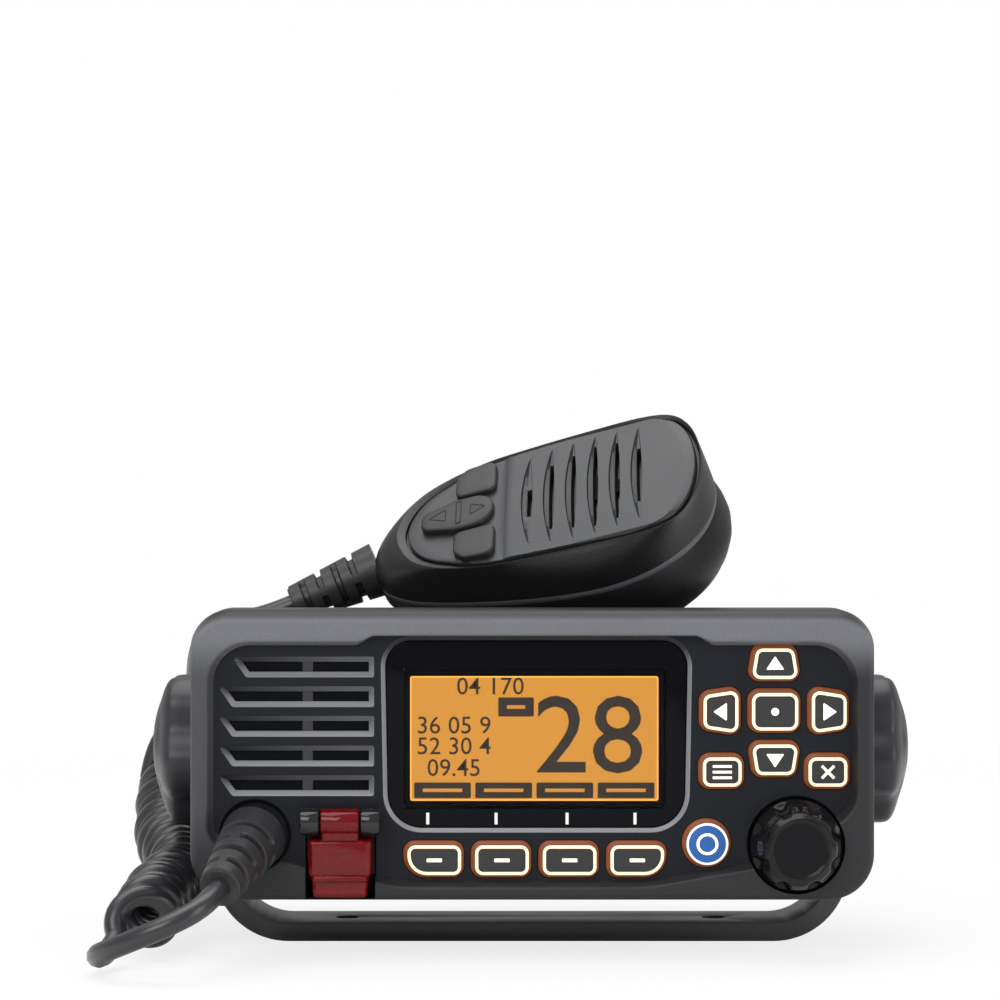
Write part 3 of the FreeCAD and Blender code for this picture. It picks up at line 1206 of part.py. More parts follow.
PANEL_SOCKET = Vector(value("Size.socket_x"), -value("Size.front_reach"),
                      value("Size.panel_base + Size.socket_height"))
PANEL_LEAD_START = Vector(-69.6, -75.0, 19.6)
MIC_LEAD_START = Vector(-58.0, 8.0, 79.9)
MIC_SOCKET = Vector(value("Size.mic_x"), value("Size.mic_y"), value("Size.mic_z"))

PANEL_LEAD = [PANEL_LEAD_START, PANEL_LEAD_START + (PANEL_LEAD_START - PANEL_SOCKET) / 3,
              Vector(-80.5, -88.5, 12.4),
              Vector(-90.5, -85.5, 8.2), Vector(-97.0, -76.5, 4.8), Vector(-96.5, -65.5, 3.0),
              Vector(-89.0, -57.5, 3.4)]
COIL = [Vector(-88.6, -61.0, 9.9), Vector(-88.0, -42.0, 11.0), Vector(-88.3, -20.0, 13.4),
        Vector(-88.0, 2.0, 15.4), Vector(-88.8, 22.0, 19.4)]
LOOSE_COIL = [Vector(-88.8, 22.0, 19.4), Vector(-89.4, 37.0, 22.4), Vector(-88.4, 51.0, 36.5)]
MIC_LEAD = [MIC_LEAD_START, MIC_LEAD_START + (MIC_LEAD_START - MIC_SOCKET) / 3,
            Vector(-74.2, 11.6, 75.6), Vector(-80.8, 20.6, 72.6), Vector(-83.8, 32.0, 66.0),
            Vector(-85.0, 43.6, 57.6), Vector(-87.4, 49.0, 42.5)]


def cord_path(points: list[Vector]) -> tuple[Part.Wire, list[float]]:
    """Straight runs joined by the largest tangent arcs that the runs allow, and the radii."""
    edges, radii = [], []
    start = points[0]
    for before, corner, after in zip(points, points[1:], points[2:]):
        arriving, leaving = (corner - before), (after - corner)
        turn = arriving.getAngle(leaving)
        radius = 0.45 * min(arriving.Length, leaving.Length) / math.tan(turn / 2)
        reach = radius * math.tan(turn / 2)
        first = corner - Vector(arriving).normalize() * reach
        last = corner + Vector(leaving).normalize() * reach
        inward = (Vector(leaving).normalize() - Vector(arriving).normalize()).normalize()
        middle = corner + inward * (radius / math.cos(turn / 2))
        crown = middle - inward * radius
        edges.append(Part.LineSegment(start, first).toShape())
        edges.append(Part.Arc(first, crown, last).toShape())
        radii.append(radius)
        start = last
    edges.append(Part.LineSegment(start, points[-1]).toShape())
    return Part.Wire(edges), radii


def cord_piece(name: str, points: list[Vector], diameter: float) -> None:
    """A round solid along a cord's path, checked against its section times its length."""
    path, radii = cord_path(points)
    direction = points[1] - points[0]
    section = Part.Wire([Part.Circle(points[0], direction, diameter / 2).toShape()])
    solid = path.makePipeShell([section], True, False)
    feature = doc.addObject("Part::Feature", name)
    feature.Shape = solid
    feature.Label = name
    feature.Placement = Placement()
    FINISHED.append(feature)
    expected = math.pi * diameter ** 2 / 4 * path.Length
    print(f"{name}: length {path.Length:.1f}, radii {[round(radius, 1) for radius in radii]},"
          f" volume {solid.Volume / expected:.4f} of section times length")


def strain_relief(name: str, start: Vector, end: Vector, root: str, tip: str, ribs: int) -> None:
    """A tapered sleeve with grooves, from a socket to where the bare cord leaves it."""
    direction = end - start
    length = direction.Length
    body = doc.addObject("PartDesign::Body", name)
    body.Label = name
    body.Placement = Placement(start, Rotation(Vector(0, 0, 1), direction))
    FINISHED.append(body)
    drawing = Outline(body, "XZ_Plane", "0")
    step = length / (ribs + 1.5)
    corners: list[Corner] = [("0", "0", ""), (f"{root} / 2", "0", "")]
    for number in range(ribs):
        low = step * (number + 1)
        share = low / length
        outer = f"({root} * {1 - share} + {tip} * {share}) / 2"
        floor = f"{outer} - Size.groove_depth"
        corners += [(outer, f"{low} - Size.groove_half", ""), (floor, f"{low} - Size.groove_floor_half", ""),
                    (floor, f"{low} + Size.groove_floor_half", ""), (outer, f"{low} + Size.groove_half", "")]
    corners += [(f"{tip} / 2", f"{length}", ""), ("0", f"{length}", "")]
    drawing.polygon(corners)
    feature = body.newObject("PartDesign::Revolution", f"{name}_turn")
    feature.Profile = (drawing.sketch, [""])
    feature.ReferenceAxis = (drawing.sketch, ["V_Axis"])
    feature.Angle = 360


def cords() -> None:
    """Both strain reliefs, the two plain leads and the coiled length between them."""
    ribs = int(value("Size.boot_ribs"))
    strain_relief("panel_boot", PANEL_SOCKET, PANEL_LEAD_START, "Size.boot_root", "Size.boot_tip", ribs)
    strain_relief("mic_boot", MIC_SOCKET, MIC_LEAD_START, "Size.mic_boot_root", "Size.mic_boot_tip", ribs)
    cord_piece("panel_lead", PANEL_LEAD, value("Size.cord_diameter"))
    cord_piece("cord_coil", COIL, value("Size.coil_diameter"))
    cord_piece("cord_coil_rear", LOOSE_COIL, value("Size.loose_coil_diameter"))
    cord_piece("mic_lead", MIC_LEAD, value("Size.cord_diameter"))


# --------------------------------------------------------------------------------- assembly

def check_and_write() -> None:
    """Checks every object, then writes each piece to its own file."""
    doc.recompute()
    for item in doc.Objects:
        if "Invalid" in item.State or "Error" in item.State:
            raise RuntimeError(f"{item.Name} did not recompute: {item.State}")
    os.makedirs("parts", exist_ok=True)
    for item in FINISHED:
        shape = item.Shape
        if shape.isNull() or not shape.isValid():
            raise RuntimeError(f"{item.Label} has no valid shape")
        shape.exportStep(f"parts/{item.Label}.step")
        box = shape.BoundBox
        print(f"{item.Label}: {len(shape.Solids)} solid(s), x {box.XMin:.1f} to {box.XMax:.1f},"
              f" y {box.YMin:.1f} to {box.YMax:.1f}, z {box.ZMin:.1f} to {box.ZMax:.1f}")


STEPS = (mounting_bracket, side_washers, clamp_knobs, front_panel, key_pieces, display,
         front_electronics, loudspeaker, distress_controls, volume_control, case, case_fittings,
         mic_housings, mic_controls, mic_inside, cords)
for build_step in STEPS:
    build_step()
check_and_write()
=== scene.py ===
"""The looks of a fixed-mount marine radio, its bracket, hand microphone and curly cord.

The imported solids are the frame. Every shape here is worked out in the same millimetres and the
same directions as they are: X to the right, Y back from the front panel, Z up, with the origin
on the mounting surface under the tilt axis.
"""
import json
import logging
import math
from collections.abc import Callable, Sequence
from dataclasses import dataclass
from enum import Enum

import bpy
import numpy as np
from mathutils import Matrix, Vector
from mathutils.geometry import delaunay_2d_cdt


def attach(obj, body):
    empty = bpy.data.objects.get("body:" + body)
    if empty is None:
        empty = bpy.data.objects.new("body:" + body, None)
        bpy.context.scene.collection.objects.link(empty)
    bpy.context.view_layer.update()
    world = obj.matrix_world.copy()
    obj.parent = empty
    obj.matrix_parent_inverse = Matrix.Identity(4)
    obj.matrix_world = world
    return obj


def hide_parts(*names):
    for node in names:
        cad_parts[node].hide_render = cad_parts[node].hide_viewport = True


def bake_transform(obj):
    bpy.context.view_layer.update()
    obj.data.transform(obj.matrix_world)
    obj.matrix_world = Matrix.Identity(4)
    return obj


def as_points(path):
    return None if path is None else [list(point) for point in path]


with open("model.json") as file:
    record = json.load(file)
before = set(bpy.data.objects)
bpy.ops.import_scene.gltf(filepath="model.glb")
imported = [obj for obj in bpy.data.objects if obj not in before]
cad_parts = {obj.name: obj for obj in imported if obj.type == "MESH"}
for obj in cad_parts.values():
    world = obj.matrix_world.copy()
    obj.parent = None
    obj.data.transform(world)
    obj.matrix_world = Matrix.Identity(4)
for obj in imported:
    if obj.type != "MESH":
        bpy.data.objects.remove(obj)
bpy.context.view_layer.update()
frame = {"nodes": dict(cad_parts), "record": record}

MM = 0.001
Array = np.ndarray
Piece = bpy.types.Object
Socket = bpy.types.NodeSocket
Material = bpy.types.Material
Pair = tuple[float, float]
Pairs = Sequence[Pair]
Point = tuple[float, float, float]
Colour = tuple[float, float, float]
Place = Callable[[Array], Array]
Number = "Varying | float"
BLACK: Colour = (0.0, 0.0, 0.0)
WHITE: Colour = (1.0, 1.0, 1.0)
log = logging.getLogger("radio")


# ---- shader maths

class Varying:
    """A number that changes over a surface; arithmetic on it adds Math nodes."""

    def __init__(self, shader: "Shader", socket: Socket) -> None:
        """Takes the shader whose tree it is in, and the socket that holds it."""
        self.shader = shader
        self.socket = socket

    def math(self, operation: str, *others: Number, flip: bool = False) -> "Varying":
        """Combines this number with others.

        Args:
            operation: the Math node's operation.
            others: the further numbers.
            flip: whether this number goes second.

        Returns:
            The result.
        """
        terms = [self, *others]
        if flip:
            terms.reverse()
        made = self.shader.node("ShaderNodeMath", {"operation": operation}, dict(enumerate(terms)))
        return Varying(self.shader, made.outputs[0])

    def __add__(self, other: Number) -> "Varying":
        """The sum."""
        return self.math("ADD", other)

    def __sub__(self, other: Number) -> "Varying":
        """The difference."""
        return self.math("SUBTRACT", other)

    def __rsub__(self, other: float) -> "Varying":
        """The difference from a plain number."""
        return self.math("SUBTRACT", other, flip=True)

    def __mul__(self, other: Number) -> "Varying":
        """The product."""
        return self.math("MULTIPLY", other)

    def __truediv__(self, other: Number) -> "Varying":
        """The quotient."""
        return self.math("DIVIDE", other)

    def __abs__(self) -> "Varying":
        """The size without its sign."""
        return self.math("ABSOLUTE")

    __radd__ = __add__
    __rmul__ = __mul__

    def step(self, low: float, high: float) -> "Varying":
        """A smooth step.

        Args:
            low: where it leaves 0.
            high: where it reaches 1.

        Returns:
            The step.
        """
        made = self.shader.node(
            "ShaderNodeMapRange", {"interpolation_type": "SMOOTHSTEP"},
            {"Value": self, "From Min": low, "From Max": high})
        return Varying(self.shader, made.outputs["Result"])

    def larger(self, other: Number) -> "Varying":
        """The larger of the two."""
        return self.math("MAXIMUM", other)

    def smaller(self, other: Number) -> "Varying":
        """The smaller of the two."""
        return self.math("MINIMUM", other)

    def wave(self, pitch: float) -> "Varying":
        """A ridge from 0 to 1 and back, once for each pitch."""
        return self.math("PINGPONG", pitch / 2) * (2 / pitch)


class Shader:
    """A material's or a world's node tree, and the one way in which its nodes are made."""

    def __init__(self, name: str, owner: bpy.types.ID | None = None) -> None:
        """Starts an empty tree in the owner, or else in a new material of this name."""
        self.material = owner or bpy.data.materials.new(name)
        self.material.use_nodes = True
        self.tree = self.material.node_tree
        self.tree.nodes.clear()

    def node(self, kind: str, settings: dict | None = None, sockets: dict | None = None) -> bpy.types.Node:
        """Makes a node.

        Args:
            kind: the node's type.
            settings: its own settings; "stops" are a ramp's (position, colour) pairs.
            sockets: what its inputs hold, a Varying, a socket or a constant.

        Returns:
            The node.
        """
        made = self.tree.nodes.new(kind)
        for name, setting in (settings or {}).items():
            setattr(made, name, setting)
        for name, held in (sockets or {}).items():
            source = held.socket if isinstance(held, Varying) else held
            if isinstance(source, Socket):
                self.tree.links.new(source, made.inputs[name])
            else:
                made.inputs[name].default_value = source
        return made

    def place(self) -> Socket:
        """The Object coordinates, in metres."""
        return self.node("ShaderNodeTexCoord").outputs["Object"]

    def axes(self) -> tuple[Varying, Varying, Varying]:
        """The Object coordinates one by one, in millimetres."""
        split = self.node("ShaderNodeSeparateXYZ", None, {0: self.place()})
        return tuple(Varying(self, out) * (1 / MM) for out in split.outputs)

    def mark(self, name: str) -> Varying:
        """A number that the mesh carries at its points."""
        made = self.node("ShaderNodeAttribute", {"attribute_name": name})
        return Varying(self, made.outputs["Fac"])

    def noise(self, size: float, detail: float = 2.0, stretch: Colour = (1.0, 1.0, 1.0)) -> Varying:
        """Noise from 0 to 1.

        Args:
            size: the size of its blotches, in millimetres.
            detail: how many finer layers it has.
            stretch: how much finer it is along each axis.

        Returns:
            The noise.
        """
        scaled = self.node("ShaderNodeMapping", None, {"Vector": self.place(), "Scale": stretch})
        made = self.node("ShaderNodeTexNoise", None, {
            "Vector": scaled.outputs[0], "Scale": 1 / (size * MM), "Detail": detail})
        return Varying(self, made.outputs["Fac"])

    def grain(self, size: float) -> Varying:
        """The leathery cells of a moulding's grain, from 0 in the valleys to 1."""
        made = self.node("ShaderNodeTexVoronoi", {"feature": "SMOOTH_F1"}, {
            "Vector": self.place(), "Scale": 1 / (size * MM), "Smoothness": 0.6})
        return 1 - Varying(self, made.outputs["Distance"])

    def blend(self, share: Number, first: object, second: object) -> Socket:
        """Mixes two colours, from the first at 0 to the second at 1."""
        made = self.node("ShaderNodeMix", {"data_type": "RGBA"}, {
            0: share, 6: rgba(first), 7: rgba(second)})
        return made.outputs[2]

    def bumps(self, height: Varying, depth: float) -> Socket:
        """Bends the normal by a height from 0 to 1 that stands for depth millimetres."""
        made = self.node("ShaderNodeBump", None, {
            "Height": height, "Distance": depth * MM, "Strength": 1.0})
        return made.outputs["Normal"]

    def surface(self, **sockets: object) -> Socket:
        """A Principled shader; an underscore in a socket's name stands for a space."""
        named = {name.replace("_", " "): rgba(held) if isinstance(held, tuple) else held
                 for name, held in sockets.items()}
        return self.node("ShaderNodeBsdfPrincipled", None, named).outputs[0]

    def finish(self, shader: Socket) -> Material:
        """Ends the tree in the material's output."""
        self.node("ShaderNodeOutputMaterial", None, {"Surface": shader})
        return self.material

    def principled(self, **sockets: object) -> Material:
        """Ends the tree in a Principled shader with these sockets."""
        return self.finish(self.surface(**sockets))

    def mixed(self, share: object, first: Socket, second: Socket) -> Socket:
        """Mixes two shaders, from the first at 0 to the second at 1."""
        return self.node("ShaderNodeMixShader", None, {0: share, 1: first, 2: second}).outputs[0]


def rgba(colour: object) -> object:
    """A plain colour with its alpha; anything else as it is."""
    return (*colour, 1.0) if isinstance(colour, tuple) and len(colour) == 3 else colour


def scaled(colour: Colour, factor: float) -> Colour:
    """A colour made lighter or darker."""
    return tuple(part * factor for part in colour)


# ---- finishes

@dataclass(frozen=True)
class Finish:
    """What a piece is made of and looks like; each kind makes its own material."""

    name: str

    def material(self) -> Material:
        """The material; every kind of finish has its own."""
        raise NotImplementedError(self.name)


@dataclass(frozen=True)
class Moulding(Finish):
    """Moulded plastic or painted casting with a fine grain, lighter on the grain's tops and a little
    uneven, with painted shade where the mesh marks it.

    Attributes:
        name: the material's name.
        colour: its colour.
        roughness: its mean roughness.
        cell: the size of the grain's cells, in millimetres.
        depth: the grain's depth, in millimetres.
        drift: how much the colour drifts over the surface.
        coat: the weight of a clear coat.
        shine: the strength of its plain reflection.
    """

    colour: Colour
    roughness: float = 0.5
    cell: float = 0.45
    depth: float = 0.02
    drift: float = 0.14
    coat: float = 0.0
    shine: float = 0.5

    def material(self) -> Material:
        """Colour and roughness that drift slowly, over a bumpy grain; painted shade, down to black, by the
        mark that the mesh carries.
        """
        shader = Shader(self.name)
        slow = shader.noise(17.0, 3.0)
        fine = shader.grain(self.cell)
        tint = shader.blend(slow, scaled(self.colour, 1 - self.drift), scaled(self.colour, 1 + self.drift))
        grain_and_painted_shade = shader.blend(fine.step(0.3, 1.0) * 0.35, tint, scaled(self.colour, 1.5))
        # Painted shade: the colour goes towards black by the mesh's mark.
        grain_and_painted_shade = shader.blend(shader.mark("painted_shade"), grain_and_painted_shade, (0.0008, 0.0008, 0.001))
        rough = (slow * 0.12 + (self.roughness - 0.06)) - fine * 0.05
        height = fine + shader.noise(self.cell * 0.4, 1.0) * 0.4
        return shader.principled(
            Base_Color=grain_and_painted_shade, Roughness=rough, Normal=shader.bumps(height, self.depth),
            Coat_Weight=self.coat, Coat_Roughness=0.25, Specular_IOR_Level=self.shine)


@dataclass(frozen=True)
class Gloss(Finish):
    """Polished plastic with faint polishing waves and a trace of finger grease."""

    colour: Colour
    roughness: float = 0.1
    shine: float = 0.5

    def material(self) -> Material:
        """Smooth colour, with roughness that varies in smudges."""
        shader = Shader(self.name)
        smudge = shader.noise(9.0, 4.0).step(0.45, 0.8)
        waves = shader.noise(6.0, 1.0)
        return shader.principled(
            Base_Color=shader.blend(smudge * 0.3, self.colour, scaled(self.colour, 1.6)),
            Roughness=smudge * 0.08 + self.roughness,
            Normal=shader.bumps(waves, 0.01), Specular_IOR_Level=self.shine)


@dataclass(frozen=True)
class Turned(Finish):
    """Turned or rolled metal with fine tool marks along one direction."""

    colour: Colour
    roughness: float = 0.28
    stretch: Colour = (1.0, 14.0, 1.0)

    def material(self) -> Material:
        """Bright metal whose roughness and height follow stretched noise."""
        shader = Shader(self.name)
        marks = shader.noise(0.9, 2.0, self.stretch)
        stain = shader.noise(5.0, 3.0)
        return shader.principled(
            Base_Color=shader.blend(stain * 0.5, self.colour, scaled(self.colour, 0.72)),
            Metallic=1.0, Roughness=marks * 0.2 + (self.roughness - 0.1),
            Normal=shader.bumps(marks, 0.006))


@dataclass(frozen=True)
class Board(Finish):
    """Circuit board laminate: green mask over paler tracks on a half-millimetre raster."""

    colour: Colour

    def material(self) -> Material:
        """Tracks are ridges of two crossing waves, broken up by noise."""
        shader = Shader(self.name)
        x, y, _ = shader.axes()
        lanes = x.wave(2.4).step(0.72, 0.8).larger(y.wave(3.1).step(0.75, 0.82))
        tracks = lanes * shader.noise(6.0, 1.0).step(0.5, 0.54)
        return shader.principled(
            Base_Color=shader.blend(tracks, self.colour, scaled(self.colour, 1.9)),
            Roughness=0.35, Normal=shader.bumps(tracks, 0.03))


@dataclass(frozen=True)
class ClearRed(Finish):
    """Clear red polycarbonate, darker where it is thick."""

    colour: Colour

    def material(self) -> Material:
        """Lets light through, with faint flow lines in its gloss."""
        shader = Shader(self.name)
        flow = shader.noise(4.0, 2.0, (1.0, 1.0, 3.0))
        tint = shader.blend(flow, scaled(self.colour, 0.75), self.colour)
        return shader.principled(
            Base_Color=tint, Roughness=flow * 0.06 + 0.05, IOR=1.5, Transmission_Weight=0.55,
            Specular_IOR_Level=0.12, Normal=shader.bumps(flow, 0.008))


@dataclass(frozen=True)
class LitKey(Finish):
    """A key of dark silicone with a clear, back-lit rim and a warm glow round its foot.

    The mesh's "rim" is 1 on the lit border and its "foot" is 1 on the glowing side.
    """

    cap: Colour
    border: Colour = (1.0, 0.86, 0.6)
    foot: Colour = (0.17, 0.045, 0.012)

    def material(self) -> Material:
        """Mixes cap, border and foot by the marks that the mesh carries."""
        shader = Shader(self.name)
        rim, foot = shader.mark("rim"), shader.mark("foot")
        speck = shader.noise(0.5, 2.0)
        cap = shader.blend(speck, scaled(self.cap, 0.85), scaled(self.cap, 1.2))
        side = shader.blend(speck * 0.5, self.foot, scaled(self.foot, 0.55))
        tint = shader.blend(rim, shader.blend(foot, cap, side), self.border)
        glow = shader.blend(rim, shader.blend(foot, BLACK, scaled(self.foot, 0.6)),
                            scaled(self.border, 0.36))
        return shader.principled(
            Base_Color=tint, Roughness=0.5 - rim * 0.15, Emission_Color=glow,
            Emission_Strength=1.0, Normal=shader.bumps(speck, 0.012))


@dataclass(frozen=True)
class Legend(Finish):
    """Ink or a lit mark that is laid on a key or the panel."""

    colour: Colour
    glow: float = 0.5

    def material(self) -> Material:
        """A flat ink with a worn, slightly uneven edge."""
        shader = Shader(self.name)
        wear = shader.noise(0.35, 2.0)
        tint = shader.blend(wear * 0.25, self.colour, scaled(self.colour, 0.7))
        return shader.principled(
            Base_Color=tint, Roughness=wear * 0.2 + 0.4, Emission_Color=tint, Emission_Strength=self.glow)


@dataclass(frozen=True)
class Screen(Finish):
    """The lit face of the display: an amber field ruled into fine square pixels."""

    name: str = "lit_display"
    field: Colour = (0.70, 0.285, 0.018)
    pixel: float = 0.42

    def material(self) -> Material:
        """A field brighter at its edge lamp, with darker lines between the pixels."""
        shader = Shader(self.name)
        x, _, z = shader.axes()
        lines = x.wave(self.pixel).step(0.0, 0.22).smaller(z.wave(self.pixel).step(0.0, 0.22))
        cloud = shader.noise(30.0, 1.0)
        lit = shader.blend(cloud * 0.35, self.field, scaled(self.field, 1.18))
        ruled = shader.blend(lines, scaled(self.field, 0.80), lit)
        return shader.principled(
            Base_Color=(0.02, 0.012, 0.004), Roughness=0.35, Emission_Color=ruled, Emission_Strength=1.0)


@dataclass(frozen=True)
class WindowPane(Finish):
    """The display window: clear over the screen, and masked glossy black all round it."""

    middle: Pair
    half: Pair

    def material(self) -> Material:
        """Clear inside a rectangle about the middle, black outside it."""
        shader = Shader(self.name)
        x, _, z = shader.axes()
        outside = (abs(x - self.middle[0]) - self.half[0]).larger(abs(z - self.middle[1]) - self.half[1])
        black = shader.surface(
            Base_Color=(0.0022, 0.0026, 0.0042), Specular_IOR_Level=0.1,
            Roughness=shader.noise(9.0).step(0.4, 0.9) * 0.05 + 0.06)
        clear = shader.node("ShaderNodeBsdfTransparent").outputs[0]
        sheen = shader.node("ShaderNodeBsdfGlossy", None, {
            "Color": rgba((0.7, 0.7, 0.7)), "Roughness": 0.06})
        fresnel = shader.node("ShaderNodeFresnel", None, {"IOR": 1.15})
        glass = shader.mixed(fresnel.outputs[0], clear, sheen.outputs[0])
        return shader.finish(shader.mixed(outside.step(-0.02, 0.02), glass, black))


# ---- outlines and grids

def unit(vectors: Array) -> Array:
    """Vectors over their own lengths."""
    return vectors / np.maximum(np.linalg.norm(vectors, axis=-1, keepdims=True), 1e-12)


def full_turn(samples: int) -> Array:
    """Even angles once round, without the last."""
    return np.linspace(0, 2 * np.pi, samples, endpoint=False)


def eased(share: Array) -> Array:
    """A share from 0 to 1 that starts and ends gently: three times its square less twice its cube."""
    return share ** 2 * (3 - 2 * share)


def lengths(line: Array) -> Array:
    """How far along a line each of its points lies."""
    return np.concatenate([[0], np.cumsum(np.linalg.norm(np.diff(line, axis=0), axis=1))])


def sampled(line: Array, along: Array, at: Array) -> Array:
    """Points of a line, whose own points lie so far along, at other lengths."""
    return np.column_stack([np.interp(at, along, column) for column in line.T])


def cubic(points: Sequence[Array], share: Array) -> Array:
    """The smooth curve between the middle two of four points.

    At each of the two its slope is half the step between that point's neighbours, which gives
    the four weights of a Catmull-Rom cubic.

    Args:
        points: the four points, each an array.
        share: how far between the middle two, from 0 to 1.

    Returns:
        The curve's points.
    """
    before, first, second, beyond = points
    return 0.5 * (2 * first + (second - before) * share
                  + (2 * before - 5 * first + 4 * second - beyond) * share ** 2
                  + (3 * first - before - 3 * second + beyond) * share ** 3)


def grown(corners: Array, margin: float) -> Array:
    """Moves every side of an outline outwards.

    A corner goes along the sum of its sides' normals, over one plus their dot product; its
    radius grows where the corner is convex and shrinks where it isn't.

    Args:
        corners: rows of x, y and radius, anticlockwise.
        margin: how far the sides go, negative for inwards.

    Returns:
        The new rows.
    """
    corners = np.asarray(corners, float)
    points = corners[:, :2]
    side = unit(np.roll(points, -1, 0) - points)
    normal = np.stack([side[:, 1], -side[:, 0]], 1)
    before = np.roll(normal, 1, 0)
    shift = margin * (normal + before) / (1 + (normal * before).sum(1, keepdims=True))
    last = np.roll(side, 1, 0)
    convex = last[:, 0] * side[:, 1] - last[:, 1] * side[:, 0] > 0
    radius = np.maximum(corners[:, 2] + np.where(convex, margin, -margin), 0.05)
    return np.column_stack([points + shift, radius])


def spun(corners: Array, turn: float) -> Array:
    """Corners turned anticlockwise about the origin by an angle."""
    spin = np.array([(math.cos(turn), math.sin(turn)), (-math.sin(turn), math.cos(turn))])
    return np.column_stack([corners[:, :2] @ spin, corners[:, 2]])


def rounded(corners: Sequence[Sequence[float]], samples: int = 8) -> Array:
    """Points of an outline whose corners are arcs tangent to both their sides.

    Each arc's middle lies on the corner's bisector at radius over the sine of half the angle,
    and its angle runs evenly from one tangent point to the other.

    Args:
        corners: rows of x, y and radius, anticlockwise.
        samples: points on each arc.

    Returns:
        An array of points, corner by corner.
    """
    corners = np.asarray(corners, float)
    points, radius = corners[:, :2], np.maximum(corners[:, 2], 0.03)
    back = unit(np.roll(points, 1, 0) - points)
    ahead = unit(np.roll(points, -1, 0) - points)
    half = 0.5 * np.arccos(np.clip((back * ahead).sum(1), -1, 1))
    middle = points + unit(back + ahead) * (radius / np.sin(half))[:, None]
    first = points + back * (radius / np.tan(half))[:, None] - middle
    last = points + ahead * (radius / np.tan(half))[:, None] - middle
    start = np.arctan2(first[:, 1], first[:, 0])
    sweep = np.arctan2(last[:, 1], last[:, 0]) - start
    sweep = (sweep + np.pi) % (2 * np.pi) - np.pi
    angle = start[:, None] + sweep[:, None] * np.linspace(0, 1, samples)
    turned = np.stack([np.cos(angle), np.sin(angle)], -1) * radius[:, None, None]
    return (middle[:, None, :] + turned).reshape(-1, 2)


def circle(x: float, y: float, radius: float, samples: int = 48) -> Array:
    """Points of a circle, anticlockwise."""
    angle = full_turn(samples)
    return np.column_stack([x + radius * np.cos(angle), y + radius * np.sin(angle)])


def box_corners(left: float, right: float, low: float, high: float, radius: float) -> Array:
    """The corners of a rectangle with one radius."""
    return np.array([(left, low, radius), (right, low, radius), (right, high, radius),
                     (left, high, radius)])


def rounded_box(left: float, right: float, low: float, high: float, radius: float, samples: int) -> Array:
    """Points of a rectangle with rounded corners."""
    return rounded(box_corners(left, right, low, high, radius), samples)


FINER = 8


def evenly(outline: Array, count: int) -> Array:
    """Points of an outline at even steps, in four quarters that start straight above its middle.

    The quarters end where the outline crosses the middle's upright and level lines, so that
    two outlines of unlike shape still match side by side.

    Args:
        outline: the closed outline's points, anticlockwise.
        count: how many points to return, a multiple of four.

    Returns:
        The points, anticlockwise from the top.
    """
    closed = np.vstack([outline, outline[:1]])
    length = lengths(closed)
    dense = sampled(closed, length, np.linspace(0, length[-1], FINER * count, endpoint=False))
    middle = (outline.min(0) + outline.max(0)) / 2
    angle = np.arctan2(dense[:, 1] - middle[1], dense[:, 0] - middle[0])
    first = int(np.argmin(np.abs(angle - np.pi / 2)))
    ring = np.roll(dense, -first, 0)
    ring = np.vstack([ring, ring[:1]])
    turn = np.unwrap(np.arctan2(ring[:, 1] - middle[1], ring[:, 0] - middle[0]))
    along = lengths(ring)
    stops = np.interp(turn[0] + np.arange(5) * np.pi / 2, turn, along)
    stops[4] = along[-1]
    at = np.interp(np.linspace(0, 4, count, endpoint=False), np.arange(5), stops)
    return sampled(ring, along, at)


def lifted(outline: Array, height: float) -> Array:
    """An outline's points at a height."""
    return np.column_stack([outline, np.full(len(outline), height)])


def stack(levels: Sequence[tuple[Array, float]]) -> Array:
    """A grid whose rows are flat outlines of equal count at their heights."""
    return np.array([lifted(ring, height) for ring, height in levels])


def polar(radius: Array, angle: Array, height: Array) -> Array:
    """A grid of points by radius, angle and height about the upright axis."""
    return np.stack([radius * np.cos(angle), radius * np.sin(angle),
                     np.broadcast_to(height, radius.shape)], -1)


def tapered(corners: Sequence, levels: Pairs, samples: int = 8) -> Array:
    """A grid of one outline, grown by a margin at each height."""
    return stack([(rounded(grown(corners, margin), samples), height) for margin, height in levels])


def fillet(margin: float, top: float, radius: float, steps: int = 5) -> list[Pair]:
    """Levels of a rounded upper edge: a quarter turn from the side inwards to the top."""
    turn = np.linspace(0, np.pi / 2, steps)
    return [(margin - radius * (1 - math.cos(a)), top - radius * (1 - math.sin(a))) for a in turn]


def turned(profile: Pairs, samples: int = 96) -> Array:
    """A profile of radius and height, carried round the upright axis."""
    shape = np.asarray(profile, float)
    return polar(np.repeat(shape[:, :1], samples, 1), full_turn(samples), shape[:, 1:])


def smooth_line(points: Pairs, count: int) -> Array:
    """A profile through points, resampled evenly along a smooth curve.

    Args:
        points: the profile's points.
        count: how many points to return.

    Returns:
        The points.
    """
    given = np.asarray(points, float)
    padded = np.vstack([2 * given[0] - given[1], given, 2 * given[-1] - given[-2]])
    at = np.linspace(0, len(given) - 1, count)
    index = np.minimum(at.astype(int), len(given) - 2)
    return cubic([padded[index + shift] for shift in range(4)], (at - index)[:, None])


# ---- pieces

class Ends(Enum):
    """Which ends of a grid's tube are closed by a face."""

    OPEN = (False, False)
    FIRST = (True, False)
    LAST = (False, True)
    BOTH = (True, True)


def added(name: str, data: bpy.types.ID) -> Piece:
    """An object with this data, put in the scene."""
    made = bpy.data.objects.new(name, data)
    bpy.context.scene.collection.objects.link(made)
    return made


def meshed(curve: Piece) -> bpy.types.Mesh:
    """The mesh of a curve's object, which is taken away."""
    mesh = bpy.data.meshes.new_from_object(curve)
    bpy.data.objects.remove(curve)
    return mesh


def points_of(mesh: bpy.types.Mesh) -> Array:
    """The mesh's points, row by row."""
    flat = np.empty(len(mesh.vertices) * 3)
    mesh.vertices.foreach_get("co", flat)
    return flat.reshape(-1, 3)


